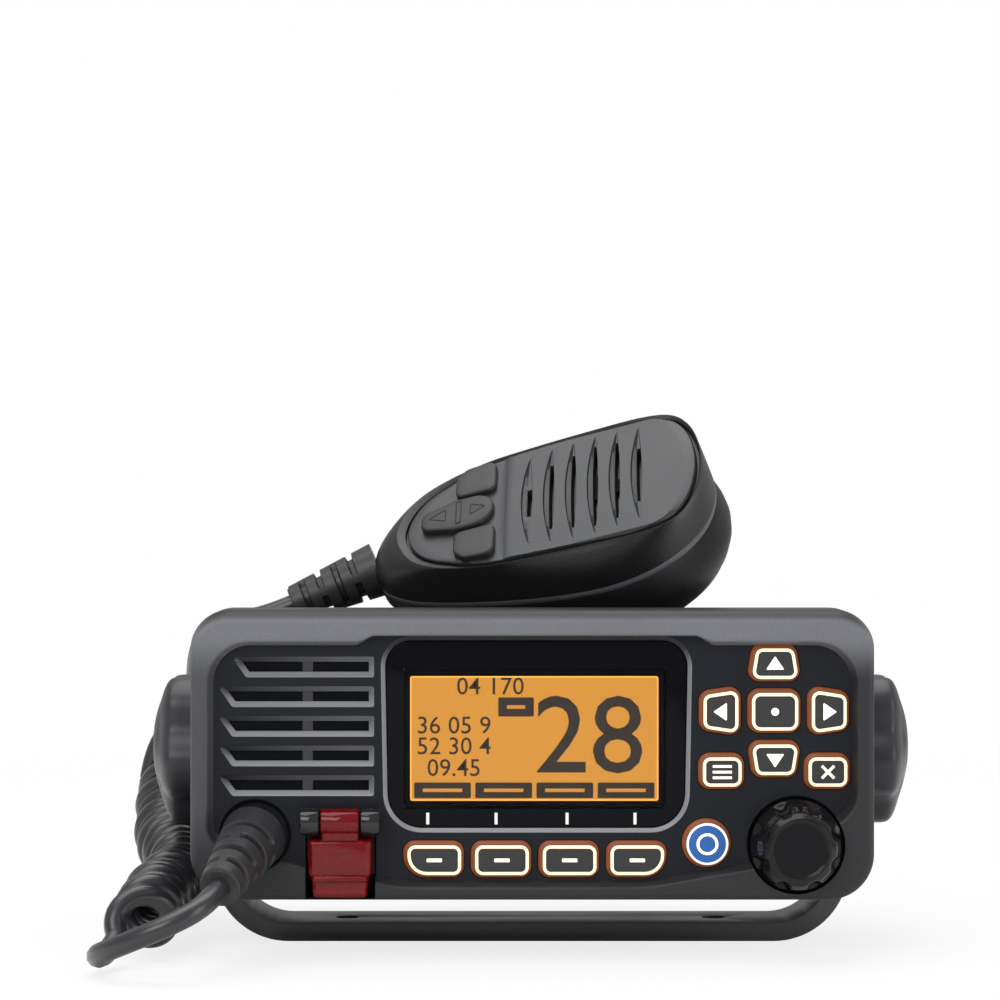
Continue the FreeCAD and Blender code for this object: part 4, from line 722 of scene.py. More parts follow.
def mesh_of(name: str, points: Array, faces: list, sharp: float = 35.0,
            marks: dict[str, Array] | None = None) -> Piece:
    """An object at the origin from points in millimetres.

    Args:
        name: the piece's name.
        points: rows of x, y and z in millimetres.
        faces: the faces' corner numbers.
        sharp: how many degrees an edge must turn by to stay sharp.
        marks: numbers that the points carry, by name.

    Returns:
        The object.
    """
    mesh = bpy.data.meshes.new(name)
    mesh.from_pydata((points * MM).tolist(), [], faces)
    for mark, numbers in (marks or {}).items():
        mesh.attributes.new(mark, "FLOAT", "POINT").data.foreach_set("value", numbers.ravel())
    mesh.polygons.foreach_set("use_smooth", [True] * len(mesh.polygons))
    mesh.set_sharp_from_angle(angle=math.radians(sharp))
    return added(name, mesh)


def grid_faces(rows: int, columns: int, closed: bool, ends: Ends) -> list:
    """Quads between neighbouring rows and columns, and the faces that close the ends.

    Args:
        rows: how many rows the grid has.
        columns: how many points a row has.
        closed: whether a row's last point joins its first.
        ends: which ends are closed.

    Returns:
        The faces' corner numbers.
    """
    steps = columns if closed else columns - 1
    row, column = np.meshgrid(np.arange(rows - 1), np.arange(steps), indexing="ij")
    beside = (column + 1) % columns
    quads = np.stack([row * columns + column, row * columns + beside,
                      (row + 1) * columns + beside, (row + 1) * columns + column], -1)
    faces = quads.reshape(-1, 4).tolist()
    if ends.value[0]:
        faces.append(list(range(columns - 1, -1, -1)))
    if ends.value[1]:
        faces.append(list(range((rows - 1) * columns, rows * columns)))
    return faces


def from_grid(name: str, grid: Array, place: Place,
              ends: Ends = Ends.OPEN, closed: bool = True, sharp: float = 35.0,
              marks: dict[str, Array] | None = None) -> Piece:
    """An object from a grid of points.

    Args:
        name: the piece's name.
        grid: rows of points, in millimetres.
        place: what puts points in their place.
        ends: which ends of the tube are closed.
        closed: whether a row's last point joins its first.
        sharp: how many degrees an edge must turn by to stay sharp.
        marks: numbers that the points carry, by name.

    Returns:
        The object.
    """
    rows, columns, _ = grid.shape
    faces = grid_faces(rows, columns, closed, ends)
    return mesh_of(name, place(grid.reshape(-1, 3)), faces, sharp, marks)


def joined(name: str, parts: Sequence[Piece]) -> Piece:
    """Several objects made one.

    Args:
        name: the piece's name.
        parts: the objects.

    Returns:
        The one object.
    """
    with bpy.context.temp_override(active_object=parts[0], selected_editable_objects=list(parts)):
        bpy.ops.object.join()
    parts[0].name = name
    parts[0].data.name = name
    return parts[0]


def outwards(outline: Array) -> Array:
    """The directions out of an outline, square to the line through each point's neighbours."""
    side = np.roll(outline, -1, 0) - np.roll(outline, 1, 0)
    return unit(np.column_stack([side[:, 1], -side[:, 0]]))


def offset(outline: Array, margin: float) -> Array:
    """Moves an outline's points outwards by a margin."""
    return outline + outwards(outline) * margin


def inside(points: Array, outline: Array) -> Array:
    """Which points lie inside a closed outline.

    A level ray to the right of a point inside crosses the outline an odd number of times.

    Args:
        points: the points to try.
        outline: the outline's points.

    Returns:
        True or False for each point.
    """
    start, end = outline, np.roll(outline, -1, 0)
    level = points[:, 1:2]
    spans = (start[:, 1] > level) != (end[:, 1] > level)
    rise = end[:, 1] - start[:, 1]
    run = end[:, 0] - start[:, 0]
    across = start[:, 0] + (level - start[:, 1]) * run / np.where(rise == 0, 1.0, rise)
    return (spans & (points[:, :1] < across)).sum(1) % 2 == 1


def flat_plate(name: str, outer: Array, holes: Sequence[Array], thickness: float,
               edge: float, place: Place) -> Piece:
    """A plate with holes and softened upper edges, its upper face at height 0.

    Each outline becomes a wall of four levels, drawn in at the top. The face is the
    triangulation of the top outlines, with the holes left out.

    Args:
        name: the piece's name.
        outer: the outer outline, anticlockwise.
        holes: the holes' outlines, anticlockwise.
        thickness: the plate's thickness.
        edge: the size of the softened edges.
        place: what puts points in their place.

    Returns:
        The piece.
    """
    walls, rings = [], []
    for number, outline in enumerate([outer, *holes]):
        inward = -edge if number == 0 else edge
        levels = [(outline, -thickness), (outline, -edge),
                  (offset(outline, inward * 0.3), -edge * 0.3), (offset(outline, inward), 0.0)]
        grid = stack(levels if number == 0 else levels[::-1])
        walls.append(from_grid(f"{name}_wall", grid, place, sharp=50.0))
        rings.append(levels[-1][0])
    points = np.vstack(rings)
    starts = np.cumsum([0] + [len(ring) for ring in rings])
    edges = [(int(first + n), int(first + (n + 1) % (last - first)))
             for first, last in zip(starts, starts[1:]) for n in range(last - first)]
    found, _, faces, *_ = delaunay_2d_cdt([Vector(point) for point in points.tolist()], edges, [],
                                          0, 1e-5)
    flat = np.array(found)
    middles = flat[np.array(faces)].mean(1)
    kept = inside(middles, rings[0])
    for ring in rings[1:]:
        kept &= ~inside(middles, ring)
    top = mesh_of(f"{name}_top", place(lifted(flat, 0.0)), np.array(faces)[kept].tolist())
    return joined(name, [top, *walls])


MARK_THICKNESS = 0.08
MARK_EDGE = 0.01


def flat_marks(name: str, outlines: Sequence[Array], place: Place, holes: Sequence[Array] = ()) -> Piece:
    """Thin printed marks, as one object."""
    parts = [flat_plate(name, outline, holes, MARK_THICKNESS, MARK_EDGE, place) for outline in outlines]
    return joined(name, parts) if len(parts) > 1 else parts[0]


FIGURE_SHARE = 0.69
FIGURE_THICKNESS = 0.06


def softened_copy(node: str, width: float) -> Piece:
    """A copy of a solid's mesh, merged and given rounded edges.

    Args:
        node: the solid's node.
        width: how far the rounding reaches from an edge, in millimetres.

    Returns:
        The copy, with its modifiers.
    """
    mesh = frame["nodes"][node].data.copy()
    made = added(f"{node}_finished", mesh)
    mesh.materials.clear()
    merge = made.modifiers.new("merge", "WELD")
    merge.merge_threshold = 1e-6
    flat = made.modifiers.new("flat", "DECIMATE")
    flat.decimate_type = "DISSOLVE"
    flat.angle_limit = math.radians(0.5)
    bevel = made.modifiers.new("edges", "BEVEL")
    bevel.width = width * MM
    bevel.segments = 3
    bevel.limit_method = "ANGLE"
    bevel.angle_limit = math.radians(32)
    bevel.harden_normals = True
    mesh.polygons.foreach_set("use_smooth", [True] * len(mesh.polygons))
    return made


def figures_on(place: Place, words: str, height: float, middle: Pair,
               weight: float, squeeze: float) -> Piece:
    """Plain figures as a thin piece.

    Args:
        place: what puts points in their place.
        words: the figures.
        height: how tall they are, in millimetres.
        middle: where their middle lies.
        weight: how much fatter than plain their strokes are.
        squeeze: their width over the font's own.

    Returns:
        The object.
    """
    curve = bpy.data.curves.new("figures", "FONT")
    curve.body = words
    curve.size = height / FIGURE_SHARE
    curve.align_x = "CENTER"
    curve.align_y = "CENTER"
    curve.offset = weight
    curve.extrude = FIGURE_THICKNESS / 2
    curve.resolution_u = 3
    mesh = meshed(added("figures", curve))
    points = points_of(mesh) * (squeeze, 1, 1) + (*middle, 0)
    mesh.vertices.foreach_set("co", (place(points) * MM).ravel())
    return added("figures", mesh)


# ---- places and finishes

FRONT_Y = -50.0
PANEL_BASE = 14.0
FLOOR = -3.0
PANEL_BACK = -5.4
MIC_ORIGIN = (-37.0, 8.0, 88.6)
MIC_TURN = np.array(Matrix.Rotation(math.radians(-13), 3, "Y")
                    @ Matrix.Rotation(math.radians(35), 3, "X"))
MIC_SLANT = np.array([(0.992, 0.0395, 0.0), (0.1585, 1.0164, 0.0), (-0.143, 0.0133, 1.0)])
MIC_SHIFT = (-0.77, -3.18, 0.0)


def as_given(points: Array) -> Array:
    """Points that are already in their place."""
    return points


def on_panel(points: Array) -> Array:
    """Points drawn on the panel, whose height stands out to the front."""
    return np.column_stack([points[:, 0], FRONT_Y - points[:, 2], PANEL_BASE + points[:, 1]])


def on_mic(points: Array) -> Array:
    """Points along the microphone, across it and out of its face, slanted towards its talk key."""
    return (points @ MIC_SLANT + MIC_SHIFT) @ MIC_TURN.T + MIC_ORIGIN


def raised(place: Place, height: float) -> Place:
    """A place that lies higher than another."""
    return lambda points: place(points + (0, 0, height))


def facing(origin: Sequence[float], ahead: Sequence[float]) -> Place:
    """A place whose height runs ahead from an origin.

    Args:
        origin: where height is 0.
        ahead: the direction in which height grows.

    Returns:
        The place.
    """
    third = unit(np.asarray(ahead, float))
    side = (0.0, 0.0, 1.0) if abs(third[2]) < 0.9 else (0.0, 1.0, 0.0)
    first = unit(np.cross(side, third))
    turn = np.array([first, np.cross(third, first), third])
    return lambda points: points @ turn + origin


def block(name: str, corners: Sequence, levels: Pairs, samples: int = 8,
          ends: Ends = Ends.BOTH, place: Place = on_panel) -> Piece:
    """An outline grown by a margin at each height, as a block.

    Args:
        name: the piece's name.
        corners: the outline's corners, each with its radius.
        levels: the margins and their heights.
        samples: points on each rounded corner.
        ends: which ends are closed.
        place: what puts points in their place.

    Returns:
        The piece.
    """
    return from_grid(name, tapered(corners, levels, samples), place, ends)


# The rim's pale grey is left only along the front's top edge, as a painted highlight; painted shade darkens
# the rest by the mesh's mark.
RIM_PLASTIC = Moulding("rim_plastic", (0.15, 0.153, 0.168), 0.46, 0.34, 0.016, 0.1, shine=0.35)
FLOOR_PLASTIC = Moulding("panel_face_plastic", (0.0115, 0.0125, 0.017), 0.42, 0.3, 0.01, 0.12, shine=0.15)
# Pale grey, partly the window trim's own colour and partly painted highlight on the bevels that face up;
# painted shade darkens the rest by the mesh's mark.
BEVEL_PLASTIC = Moulding("bevel_plastic", (0.23, 0.235, 0.245), 0.36, 0.3, 0.006, 0.1)
CASE_PAINT = Moulding("case_paint", (0.021, 0.022, 0.025), 0.5, 0.7, 0.04, 0.15)
BRACKET_PAINT = Moulding("bracket_paint", (0.055, 0.055, 0.06), 0.4, 0.5, 0.018, 0.15)
CLAMP_PLASTIC = Moulding("clamp_plastic", (0.019, 0.02, 0.024), 0.42, 0.4, 0.012, 0.15)
MIC_PLASTIC = Moulding("microphone_plastic", (0.0065, 0.0064, 0.0062), 0.42, 0.4, 0.03, 0.1, shine=0.4)
MIC_BACK = Moulding("microphone_back", (0.004, 0.004, 0.004), 0.45, 0.4, 0.02, 0.1, shine=0.25)
MIC_FACE = Moulding("microphone_face", (0.0175, 0.019, 0.0215), 0.44, 0.34, 0.014, 0.1, shine=0.45)
MIC_SILICONE = Moulding("microphone_key_silicone", (0.0145, 0.0138, 0.0138), 0.5, 0.5, 0.008, 0.1,
                        shine=0.4)
# Painted shade: near-black for the thin outlines that stand for the shaded edges of the rocker's arrows.
MIC_GROOVE_SHADE = Moulding("microphone_groove_shade", (0.004, 0.004, 0.004), 0.6, 0.5, 0.008, 0.1, shine=0.3)
SEAM_RUBBER = Moulding("seam_rubber", (0.085, 0.094, 0.108), 0.45, 0.5, 0.006, 0.1)
BOOT_RUBBER = Moulding("boot_rubber", (0.022, 0.022, 0.0245), 0.42, 0.4, 0.03, 0.12)
CORD_JACKET = Moulding("cord_jacket", (0.0155, 0.0165, 0.019), 0.34, 0.8, 0.006, 0.15, 0.25)
SOFT_RUBBER = Moulding("soft_rubber", (0.015, 0.015, 0.015), 0.7, 0.5, 0.015, 0.15)
# Painted shade: a near-black sheet behind the grille's slots.
GRILLE_SHADE_SHEET = Moulding("grille_shade_sheet", (0.0035, 0.0045, 0.007), 0.9, 0.6, 0.05, shine=0.1)
DARK_GAP = Moulding("dark_gap", (0.0015, 0.0015, 0.002), 0.8, 0.5, 0.01, 0.1, shine=0.08)
DIAL_GLOSS = Gloss("dial_gloss", (0.006, 0.0062, 0.007), 0.16, 0.28)
DIAL_FACE = Moulding("dial_face", (0.006, 0.0064, 0.0078), 0.5, 0.3, 0.01, 0.1, shine=0.15)
BARREL_GLOSS = Gloss("hinge_barrel", (0.012, 0.011, 0.012), 0.09)
COVER_RED = ClearRed("cover_red", (0.34, 0.0008, 0.0018))
KEY_BLACK = LitKey("lit_key", (0.021, 0.021, 0.022))
KEY_BLUE = LitKey("call_key", (0.014, 0.12, 0.42), (0.92, 0.95, 1.0))
INK = Legend("key_legend", (1.0, 0.92, 0.78), 0.55)
TICK_INK = Legend("tick_ink", (0.75, 0.76, 0.74), 0.25)
SEGMENTS = Legend("display_segments", (0.022, 0.010, 0.0025), 0.0)
SCREEN_EDGE = Legend("display_edge", (0.95, 0.46, 0.07), 0.8)
SCREEN = Screen()
PLATED = Turned("plated_metal", (0.62, 0.61, 0.58), 0.24, (1.0, 1.0, 8.0))
STEEL = Turned("turned_steel", (0.5, 0.5, 0.51), 0.3)

SLOT_FINISHES = {
    "bracket_paint": BRACKET_PAINT, "case_casting": CASE_PAINT, "panel_plastic": RIM_PLASTIC,
    "knob_plastic": CLAMP_PLASTIC, "steel": STEEL, "rubber": SOFT_RUBBER,
    "window_clear": Gloss("window_edge", (0.003, 0.003, 0.004)),
    "lcd_glass": Gloss("display_glass", (0.05, 0.03, 0.01)),
    "backlight_plastic": Moulding("light_guide", (0.6, 0.6, 0.58), 0.4),
    "board_laminate": Board("board_laminate", (0.01, 0.09, 0.035)),
    "speaker_steel": Turned("speaker_steel", (0.03, 0.03, 0.03), 0.5),
    "paper_cone": Moulding("paper_cone", (0.01, 0.01, 0.01), 0.85, 0.8, 0.04),
    "key_rubber": MIC_SILICONE, "call_key_plastic": KEY_BLUE, "cover_red": COVER_RED,
    "distress_red": Moulding("red_key", (0.40, 0.012, 0.012), 0.4),
    "switch_plastic": Moulding("switch_plastic", (0.03, 0.03, 0.03), 0.45),
    "shield_tin": Turned("tinned_steel", (0.66, 0.66, 0.64), 0.3, (6.0, 1.0, 1.0)),
    "connector_nickel": PLATED, "mic_plastic": MIC_PLASTIC, "seam_grey": SEAM_RUBBER,
    "capsule_metal": Moulding("capsule_cloth", (0.004, 0.004, 0.004), 0.85, 0.6, 0.03, shine=0.1),
    "hanger_metal": PLATED, "cord_jacket": CORD_JACKET,}


class Dresser:
    """Gives pieces their finish, the body they ride on, and the solids that they stand for."""

    def __init__(self) -> None:
        """Starts without materials."""
        self.materials: dict[Finish, Material] = {}

    def material(self, finish: Finish) -> Material:
        """The finish's material, made once."""
        if finish not in self.materials:
            self.materials[finish] = finish.material()
        return self.materials[finish]

    def dress(self, piece: Piece, body: str, slot: str, finish: Finish, *nodes: str) -> Piece:
        """Finishes a piece.

        Args:
            piece: the piece.
            body: the body that it rides on.
            slot: the record's material slot; not used.
            finish: its finish.
            nodes: the solids that it stands for.

        Returns:
            The piece.
        """
        piece.data.materials.clear()
        piece.data.materials.append(self.material(finish))
        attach(piece, body)
        if nodes:
            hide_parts(*nodes)
        log.info("%s on %s, finish %s", piece.name, body, finish.name)
        return piece

    def dress_solids(self) -> None:
        """Gives every solid the finish of its slot."""
        slots = {row["node"]: row["material_slot"] for row in frame["record"]["subparts"]}
        for node, piece in frame["nodes"].items():
            piece.data.materials.clear()
            piece.data.materials.append(self.material(SLOT_FINISHES[slots[node]]))


dresser = Dresser()
dress = dresser.dress


# ---- studio and cords

@dataclass
class Studio:
    """The camera, the pale floor and the soft lamps."""

    eye: Point = (-7.4, -850.0, 105.5)
    lens: float = 126.07
    sensor: float = 36.0
    floor_reach: float = 6000.0
    floor_drop: float = 0.05
    sky: float = 0.55
    aim: Point = (0, 0, 0.05)

    def camera(self) -> None:
        """A level camera that looks straight back."""
        data = bpy.data.cameras.new("camera")
        data.lens, data.sensor_width = self.lens, self.sensor
        data.clip_start, data.clip_end = 0.05, 40.0
        made = added("camera", data)
        made.location = Vector(self.eye) * MM
        made.rotation_euler = (math.radians(90), 0, 0)
        bpy.context.scene.camera = made

    def floor(self) -> None:
        """A wide flat floor that is white to the eye but keeps the shadow."""
        reach = self.floor_reach
        corners = box_corners(-reach, reach, -reach, reach, 0.0)
        plane = mesh_of("floor", corners - (0, 0, self.floor_drop), [(0, 1, 2, 3)])
        shader = Shader("pale_floor")
        seen = shader.node("ShaderNodeLightPath")
        straight = Varying(shader, seen.outputs["Is Camera Ray"]).larger(
            Varying(shader, seen.outputs["Is Transmission Ray"]))
        x, y, _ = shader.axes()
        far = (x * x + y * y).math("SQRT").step(150.0, 700.0)
        diffuse = shader.node("ShaderNodeBsdfDiffuse", None, {"Color": rgba((0.8, 0.8, 0.8))})
        white = shader.node("ShaderNodeEmission", None, {"Color": rgba(WHITE), "Strength": 1.0})
        plane.data.materials.append(shader.finish(shader.mixed(
            straight * (far * 0.2 + 0.8), diffuse.outputs[0], white.outputs[0])))

    def world(self) -> None:
        """A white backdrop to the eye, and an even grey light for everything else."""
        bpy.context.scene.world = bpy.data.worlds.new("studio")
        sky = Shader("sky", bpy.context.scene.world)
        seen = Varying(sky, sky.node("ShaderNodeLightPath").outputs["Is Camera Ray"])
        back = sky.node("ShaderNodeBackground", None, {
            "Color": rgba(WHITE), "Strength": seen.math("MULTIPLY_ADD", 1.0 - self.sky, self.sky)})
        sky.node("ShaderNodeOutputWorld", None, {"Surface": back.outputs[0]})

    def lamp(self, name: str, place: Point, size: Pair, power: float) -> None:
        """A soft rectangular lamp turned to the radio.

        Args:
            name: the lamp's name.
            place: where it stands, in metres.
            size: its width and height, in metres.
            power: its power, in watts.
        """
        data = bpy.data.lights.new(name, "AREA")
        data.shape = "RECTANGLE"
        data.size, data.size_y = size
        data.energy = power
        made = added(name, data)
        made.location = place
        made.rotation_euler = (Vector(self.aim) - Vector(place)).to_track_quat("-Z", "Y").to_euler()

    def build(self) -> None:
        """Sets the studio up."""
        bpy.context.scene.view_settings.view_transform = "Standard"
        self.camera()
        self.floor()
        self.world()
        self.lamp("top_box", (-0.1, 0.1, 1.1), (1.5, 0.9), 11.0)
        self.lamp("front_box", (-0.55, -1.1, 0.75), (0.9, 0.6), 6.5)
        self.lamp("right_box", (1.0, -0.5, 0.4), (0.4, 0.8), 3.0)


@dataclass
class Cord:
    """The curly cord: a plain lead, its coil along the case's left side, and the other lead.

    The coil follows the route's smooth line; each turn's point lies at the turn's radius on the
    level and upright directions square to that line, and the angle grows evenly with length.
    """

    diameter: float = 5.0
    panel_lead: tuple = (
        (-69.6, -75.0, 19.6), (-71.6, -83.33, 16.6), (-80.5, -88.5, 12.4), (-90.5, -85.5, 8.2),
        (-97.0, -76.5, 4.8), (-96.5, -65.5, 3.0))
    coil_route: tuple = (
        (-88.6, -61.0, 9.9), (-88.0, -42.0, 11.0), (-88.3, -20.0, 13.4), (-88.0, 2.0, 15.4),
        (-88.8, 22.0, 19.4), (-89.4, 37.0, 22.4), (-88.4, 51.0, 36.5))
    mic_lead: tuple = (
        (-97.6, 51.0, 34.0), (-96.4, 50.4, 41.5), (-90.4, 48.6, 49.5), (-85.0, 43.6, 57.6),
        (-83.8, 32.0, 66.0), (-80.8, 20.6, 72.6), (-74.2, 11.6, 75.6), (-65.0, 8.0, 76.9),
        (-58.0, 8.0, 79.9))
    pitch: float = 5.3
    points_per_turn: int = 14
    first_angle: float = -148.0
    main_length: float = 0.845
    mic_length: float = 0.085

    def spline(self, name: str, points: Array, bevel: float) -> Piece:
        """A smooth curve.

        Args:
            name: the object's name.
            points: its control points, in millimetres.
            bevel: the radius of the tube round it, or 0 for a bare line.

        Returns:
            The object.
        """
        curve = bpy.data.curves.new(name, "CURVE")
        curve.dimensions = "3D"
        line = curve.splines.new("NURBS")
        line.points.add(len(points) - 1)
        line.points.foreach_set("co", np.column_stack([points * MM, np.ones(len(points))]).ravel())
        line.order_u = 3
        line.use_endpoint_u = True
        line.resolution_u = 6 if bevel else 24
        curve.bevel_depth = bevel * MM
        curve.bevel_resolution = 3
        curve.use_fill_caps = bool(bevel)
        return added(name, curve)

    def line_of(self, points: Array) -> Array:
        """Close points of the smooth line through a route.

        Args:
            points: the line's control points, in millimetres.

        Returns:
            The line's points, in millimetres.
        """
        return points_of(meshed(self.spline("route", points, 0.0))) / MM

    def coil(self) -> Array:
        """Control points of the coil's turns.

        The pitch is stretched at the front by a bell curve of the distance; its inverse, added
        up along the line, gives the angle. The turns widen towards the rear, and a second bell
        curve moves them inwards where they pass below the clamp knob.
        """
        line = self.line_of(np.array(self.coil_route))
        along = lengths(line)
        fine = np.linspace(0, along[-1], 4000)
        pitch = self.pitch + 15.0 * np.exp(-(fine / 15) ** 2)
        turns = np.concatenate([[0], np.cumsum(np.diff(fine) / pitch[:-1])])
        last = math.floor(turns[-1]) + 0.08
        count = int(last * self.points_per_turn)
        at = np.interp(np.linspace(0, last, count), turns, fine)
        middle = sampled(line, along, at)
        ahead = unit(np.gradient(middle, axis=0))
        up = unit(np.array((0.0, 0.0, 1.0)) - ahead * ahead[:, 2:])
        side = np.cross(ahead, up)
        angle = math.radians(self.first_angle) - 2 * np.pi * np.linspace(0, last, count)
        grown_by = eased(np.clip(at / along[-1] * 2.0 - 1.0, 0, 1))
        wide = 5.8 + 3.4 * grown_by + 0.3 * np.sin(at * 0.55)
        tall = 5.7 + 3.2 * grown_by + 0.3 * np.sin(at * 0.4 + 1)
        inwards = 3.6 * np.exp(-((at - 60) / 18) ** 2)
        ring = side * (wide * np.cos(angle) + inwards)[:, None] + up * (tall * np.sin(angle))[:, None]
        return middle + ring

    def build(self) -> list[tuple]:
        """Makes both stretches as closed tubes that follow their smooth lines."""
        made = []
        main = np.vstack([np.array(self.panel_lead), self.coil()])
        for name, points, body, nodes, length, far_end in (
                ("curly_cord", main, ("bracket", "radio"),
                 ("panel_lead", "cord_coil", "cord_coil_rear"), self.main_length, "object"),
                ("microphone_lead", np.array(self.mic_lead), ("radio", "microphone"),
                 ("mic_lead",), self.mic_length, "object")):
            path = self.line_of(points) * MM
            mesh = meshed(self.spline(name, points, self.diameter / 2))
            mesh.polygons.foreach_set("use_smooth", [True] * len(mesh.polygons))
            piece = added(name, mesh)
            piece.data.materials.append(dresser.material(CORD_JACKET))
            if name == "curly_cord":
                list(body)
                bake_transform(piece)
            else:
                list(body)
                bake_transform(piece)
            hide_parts(*nodes)
            made.append((piece, path, length, far_end))
            log.info("%s: %.3f m", name, lengths(path)[-1])
        return made


@dataclass
class Boot:
    """A tapered rubber sleeve, cut by slots that leave a spine, over the cord's end."""

    name: str
    node: str
    body: str
    start: Point
    end: Point
    root: float
    tip: float
    ribs: int = 4
    ribbed: Pair = (0.16, 0.92)
    groove: float = 1.35

    def build(self) -> Piece:
        """A profile of ribs and grooves carried round the cord.

        The radius falls evenly from root to tip. A groove takes its depth away, except beside
        the spine, where that fades to nothing; the spine is a quarter turn on at every rib.
        """
        ahead = np.subtract(self.end, self.start)
        along = np.linspace(0, 1, 140)[:, None]
        around = full_turn(72)
        outer = (self.root * (1 - along) + self.tip * along) / 2
        first, last = self.ribbed
        phase = (along - first) / (last - first) * self.ribs
        quarter = np.where(np.floor(phase) % 2 == 0, 0.0, np.pi / 2)
        wave = np.abs((phase % 1) - 0.5)
        groove = np.clip((0.19 - wave) / 0.05, 0, 1)
        groove = groove * ((phase > 0) & (phase < self.ribs))
        spine = np.clip((np.abs(np.sin(around - quarter)) - 0.22) / 0.1, 0, 1)
        radius = outer - self.groove * groove * spine
        radius = np.where(along > 0.985, radius - 0.5, radius)
        grid = polar(radius, around, along * float(np.linalg.norm(ahead)))
        piece = from_grid(self.name, grid, facing(self.start, ahead), Ends.BOTH)
        return dress(piece, self.body, "rubber", BOOT_RUBBER, self.node)


# ---- front panel

@dataclass
class FrontPanel:
    """The deep rim, the sunk face with its openings, the grille's bevels and the hinge seat."""

    half: float = 78.25
    height: float = 66.4
    depth: float = 18.0
    edge: float = 1.7
    slot_rows: tuple[float, ...] = (26.0, 32.8, 39.6, 46.4, 53.2)
    slot_right: float = -36.3
    slot_left: float = -72.1
    slot_half: float = 2.35
    slot_slant: float = 3.3
    top_slot_trim: float = 3.2
    rib: Pair = (-52.9, -50.3)
    socket: Pair = (-63.6, 14.6)
    dial: Pair = (60.4, 12.5)
    recess: tuple = (
        (-74.25, 12.5, 6.0), (-30.0, 3.0, 40.0), (26.0, 3.0, 40.0), (52.0, 7.5, 14.0),
        (74.25, 20.0, 9.0), (74.25, 59.0, 9.5), (41.0, 59.0, 2.5), (37.6, 60.5, 2.5),
        (-36.4, 60.5, 2.5), (-39.8, 59.0, 2.5), (-74.25, 59.0, 9.5))
    face: tuple = (
        (-73.1, 13.3, 5.4), (-29.8, 4.2, 39.0), (25.9, 4.2, 39.0), (51.5, 8.5, 13.4),
        (73.1, 20.8, 8.4), (73.1, 58.2, 8.6), (41.4, 58.2, 2.5), (37.9, 60.3, 2.4),
        (-36.7, 60.3, 2.4), (-40.2, 58.2, 2.5), (-73.1, 58.2, 8.6))
    window: tuple = ((-33.1, 16.2, 8.0), (35.0, 16.2, 8.0), (35.8, 59.3, 6.0), (-33.9, 59.3, 6.0))
    bay: tuple[float, float, float, float] = (-51.9, -35.9, 0.4, 15.3)
    dial_well: float = 11.1
    socket_seat: float = 8.2
    well_drop: float = 1.5
    bay_drop: float = 0.8
    snap: float = 0.28
    rim_points: int = 1200
    edge_rows: int = 9
    front_rows: int = 29
    wall: float = 2.4

    def rim(self) -> Piece:
        """The rim: matched outlines carried from the back edge round the front to the face.

        Its front edge is rounded; along the top the rounding is twice as high, which leaves a
        sloping band. The inner wall slopes down to the sunk face, and a ledge inside the back
        edge meets the case.
        """
        body = np.array([(-self.half, 0, 10.5), (self.half, 0, 10.5),
                         (self.half, self.height, 9.0), (-self.half, self.height, 9.0)])
        outer = evenly(rounded(body, 40), self.rim_points)
        normal = outwards(outer)
        top = np.clip((normal[:, 1] - 0.35) / 0.6, 0, 1)[:, None]
        rows = [lifted(outer, -self.depth), lifted(outer, -6.0)]
        for angle in np.linspace(0, np.pi / 2, self.edge_rows):
            inset = self.edge * (1 - math.cos(angle))
            drop = -self.edge * (1 - math.sin(angle))
            slope_in = 2.6 * (1 - math.cos(angle)) + 0.35 * math.sin(angle)
            slope_drop = -4.2 * (1 - math.sin(angle)) ** 1.2
            inward = inset * (1 - top) + slope_in * top
            level = drop * (1 - top) + slope_drop * top
            rows.append(np.column_stack([outer - normal * inward, level]))
        inner = evenly(rounded(self.recess, 24), self.rim_points)
        out = outwards(inner)
        for angle in np.linspace(0, 1.15, 5):
            rows.append(lifted(inner + out * 0.7 * (1 - math.sin(angle) / math.sin(1.15)),
                               -0.7 * (1 - math.cos(angle))))
        low = evenly(rounded(self.face, 24), self.rim_points)
        brink, foot = rows[-1], lifted(low, FLOOR)
        rows += [brink * (1 - share) + foot * share for share in np.linspace(0.1, 1, 10)]
        lining = evenly(rounded_box(-self.half + self.wall, self.half - self.wall, self.wall,
                                    self.height - self.wall, 7.5, 40), self.rim_points)
        seat = evenly(rounded_box(-69.6, 69.6, 7.6, 58.8, 5.0, 40), self.rim_points)
        back = stack([(low, PANEL_BACK), (seat, PANEL_BACK), (seat, 1.0 - self.depth),
                      (lining, 1.0 - self.depth), (lining, -self.depth)])
        grid = np.concatenate([self.sunk(np.array(self.denser_front(rows))), back])
        faces = np.array(grid_faces(len(grid) + 1, self.rim_points, True, Ends.OPEN))
        faces %= len(grid) * self.rim_points
        return mesh_of("panel_rim", on_panel(grid.reshape(-1, 3)), faces.tolist(), 38.0,
                       {"painted_shade": self.shade(grid, top)})

    def shade(self, grid: Array, top: Array) -> Array:
        """How much painted shade the rim gets: none along the front's top edge, whose pale grey stands as a
        painted highlight, much below it and on its top, and a little less on its left side.

        Args:
            grid: the rim's points.
            top: how far each column belongs to the top, from 0 to 1.

        Returns:
            The share of painted shade at each point.
        """
        x, y = grid[..., 0], grid[..., 1]
        low = 0.87 - 0.26 * np.clip((-x - 60) / 8, 0, 1) * np.clip((y - 8) / 12, 0, 1)
        dark = low * (1 - eased(np.clip((y - 50) / 11, 0, 1)))
        fading = (0.7, 0.35)
        band = np.zeros(len(grid))
        band[:self.edge_rows - 2] = 0.97
        band[self.edge_rows - 2:self.edge_rows] = fading
        return np.maximum(dark, band[:, None] * top[:, 0])

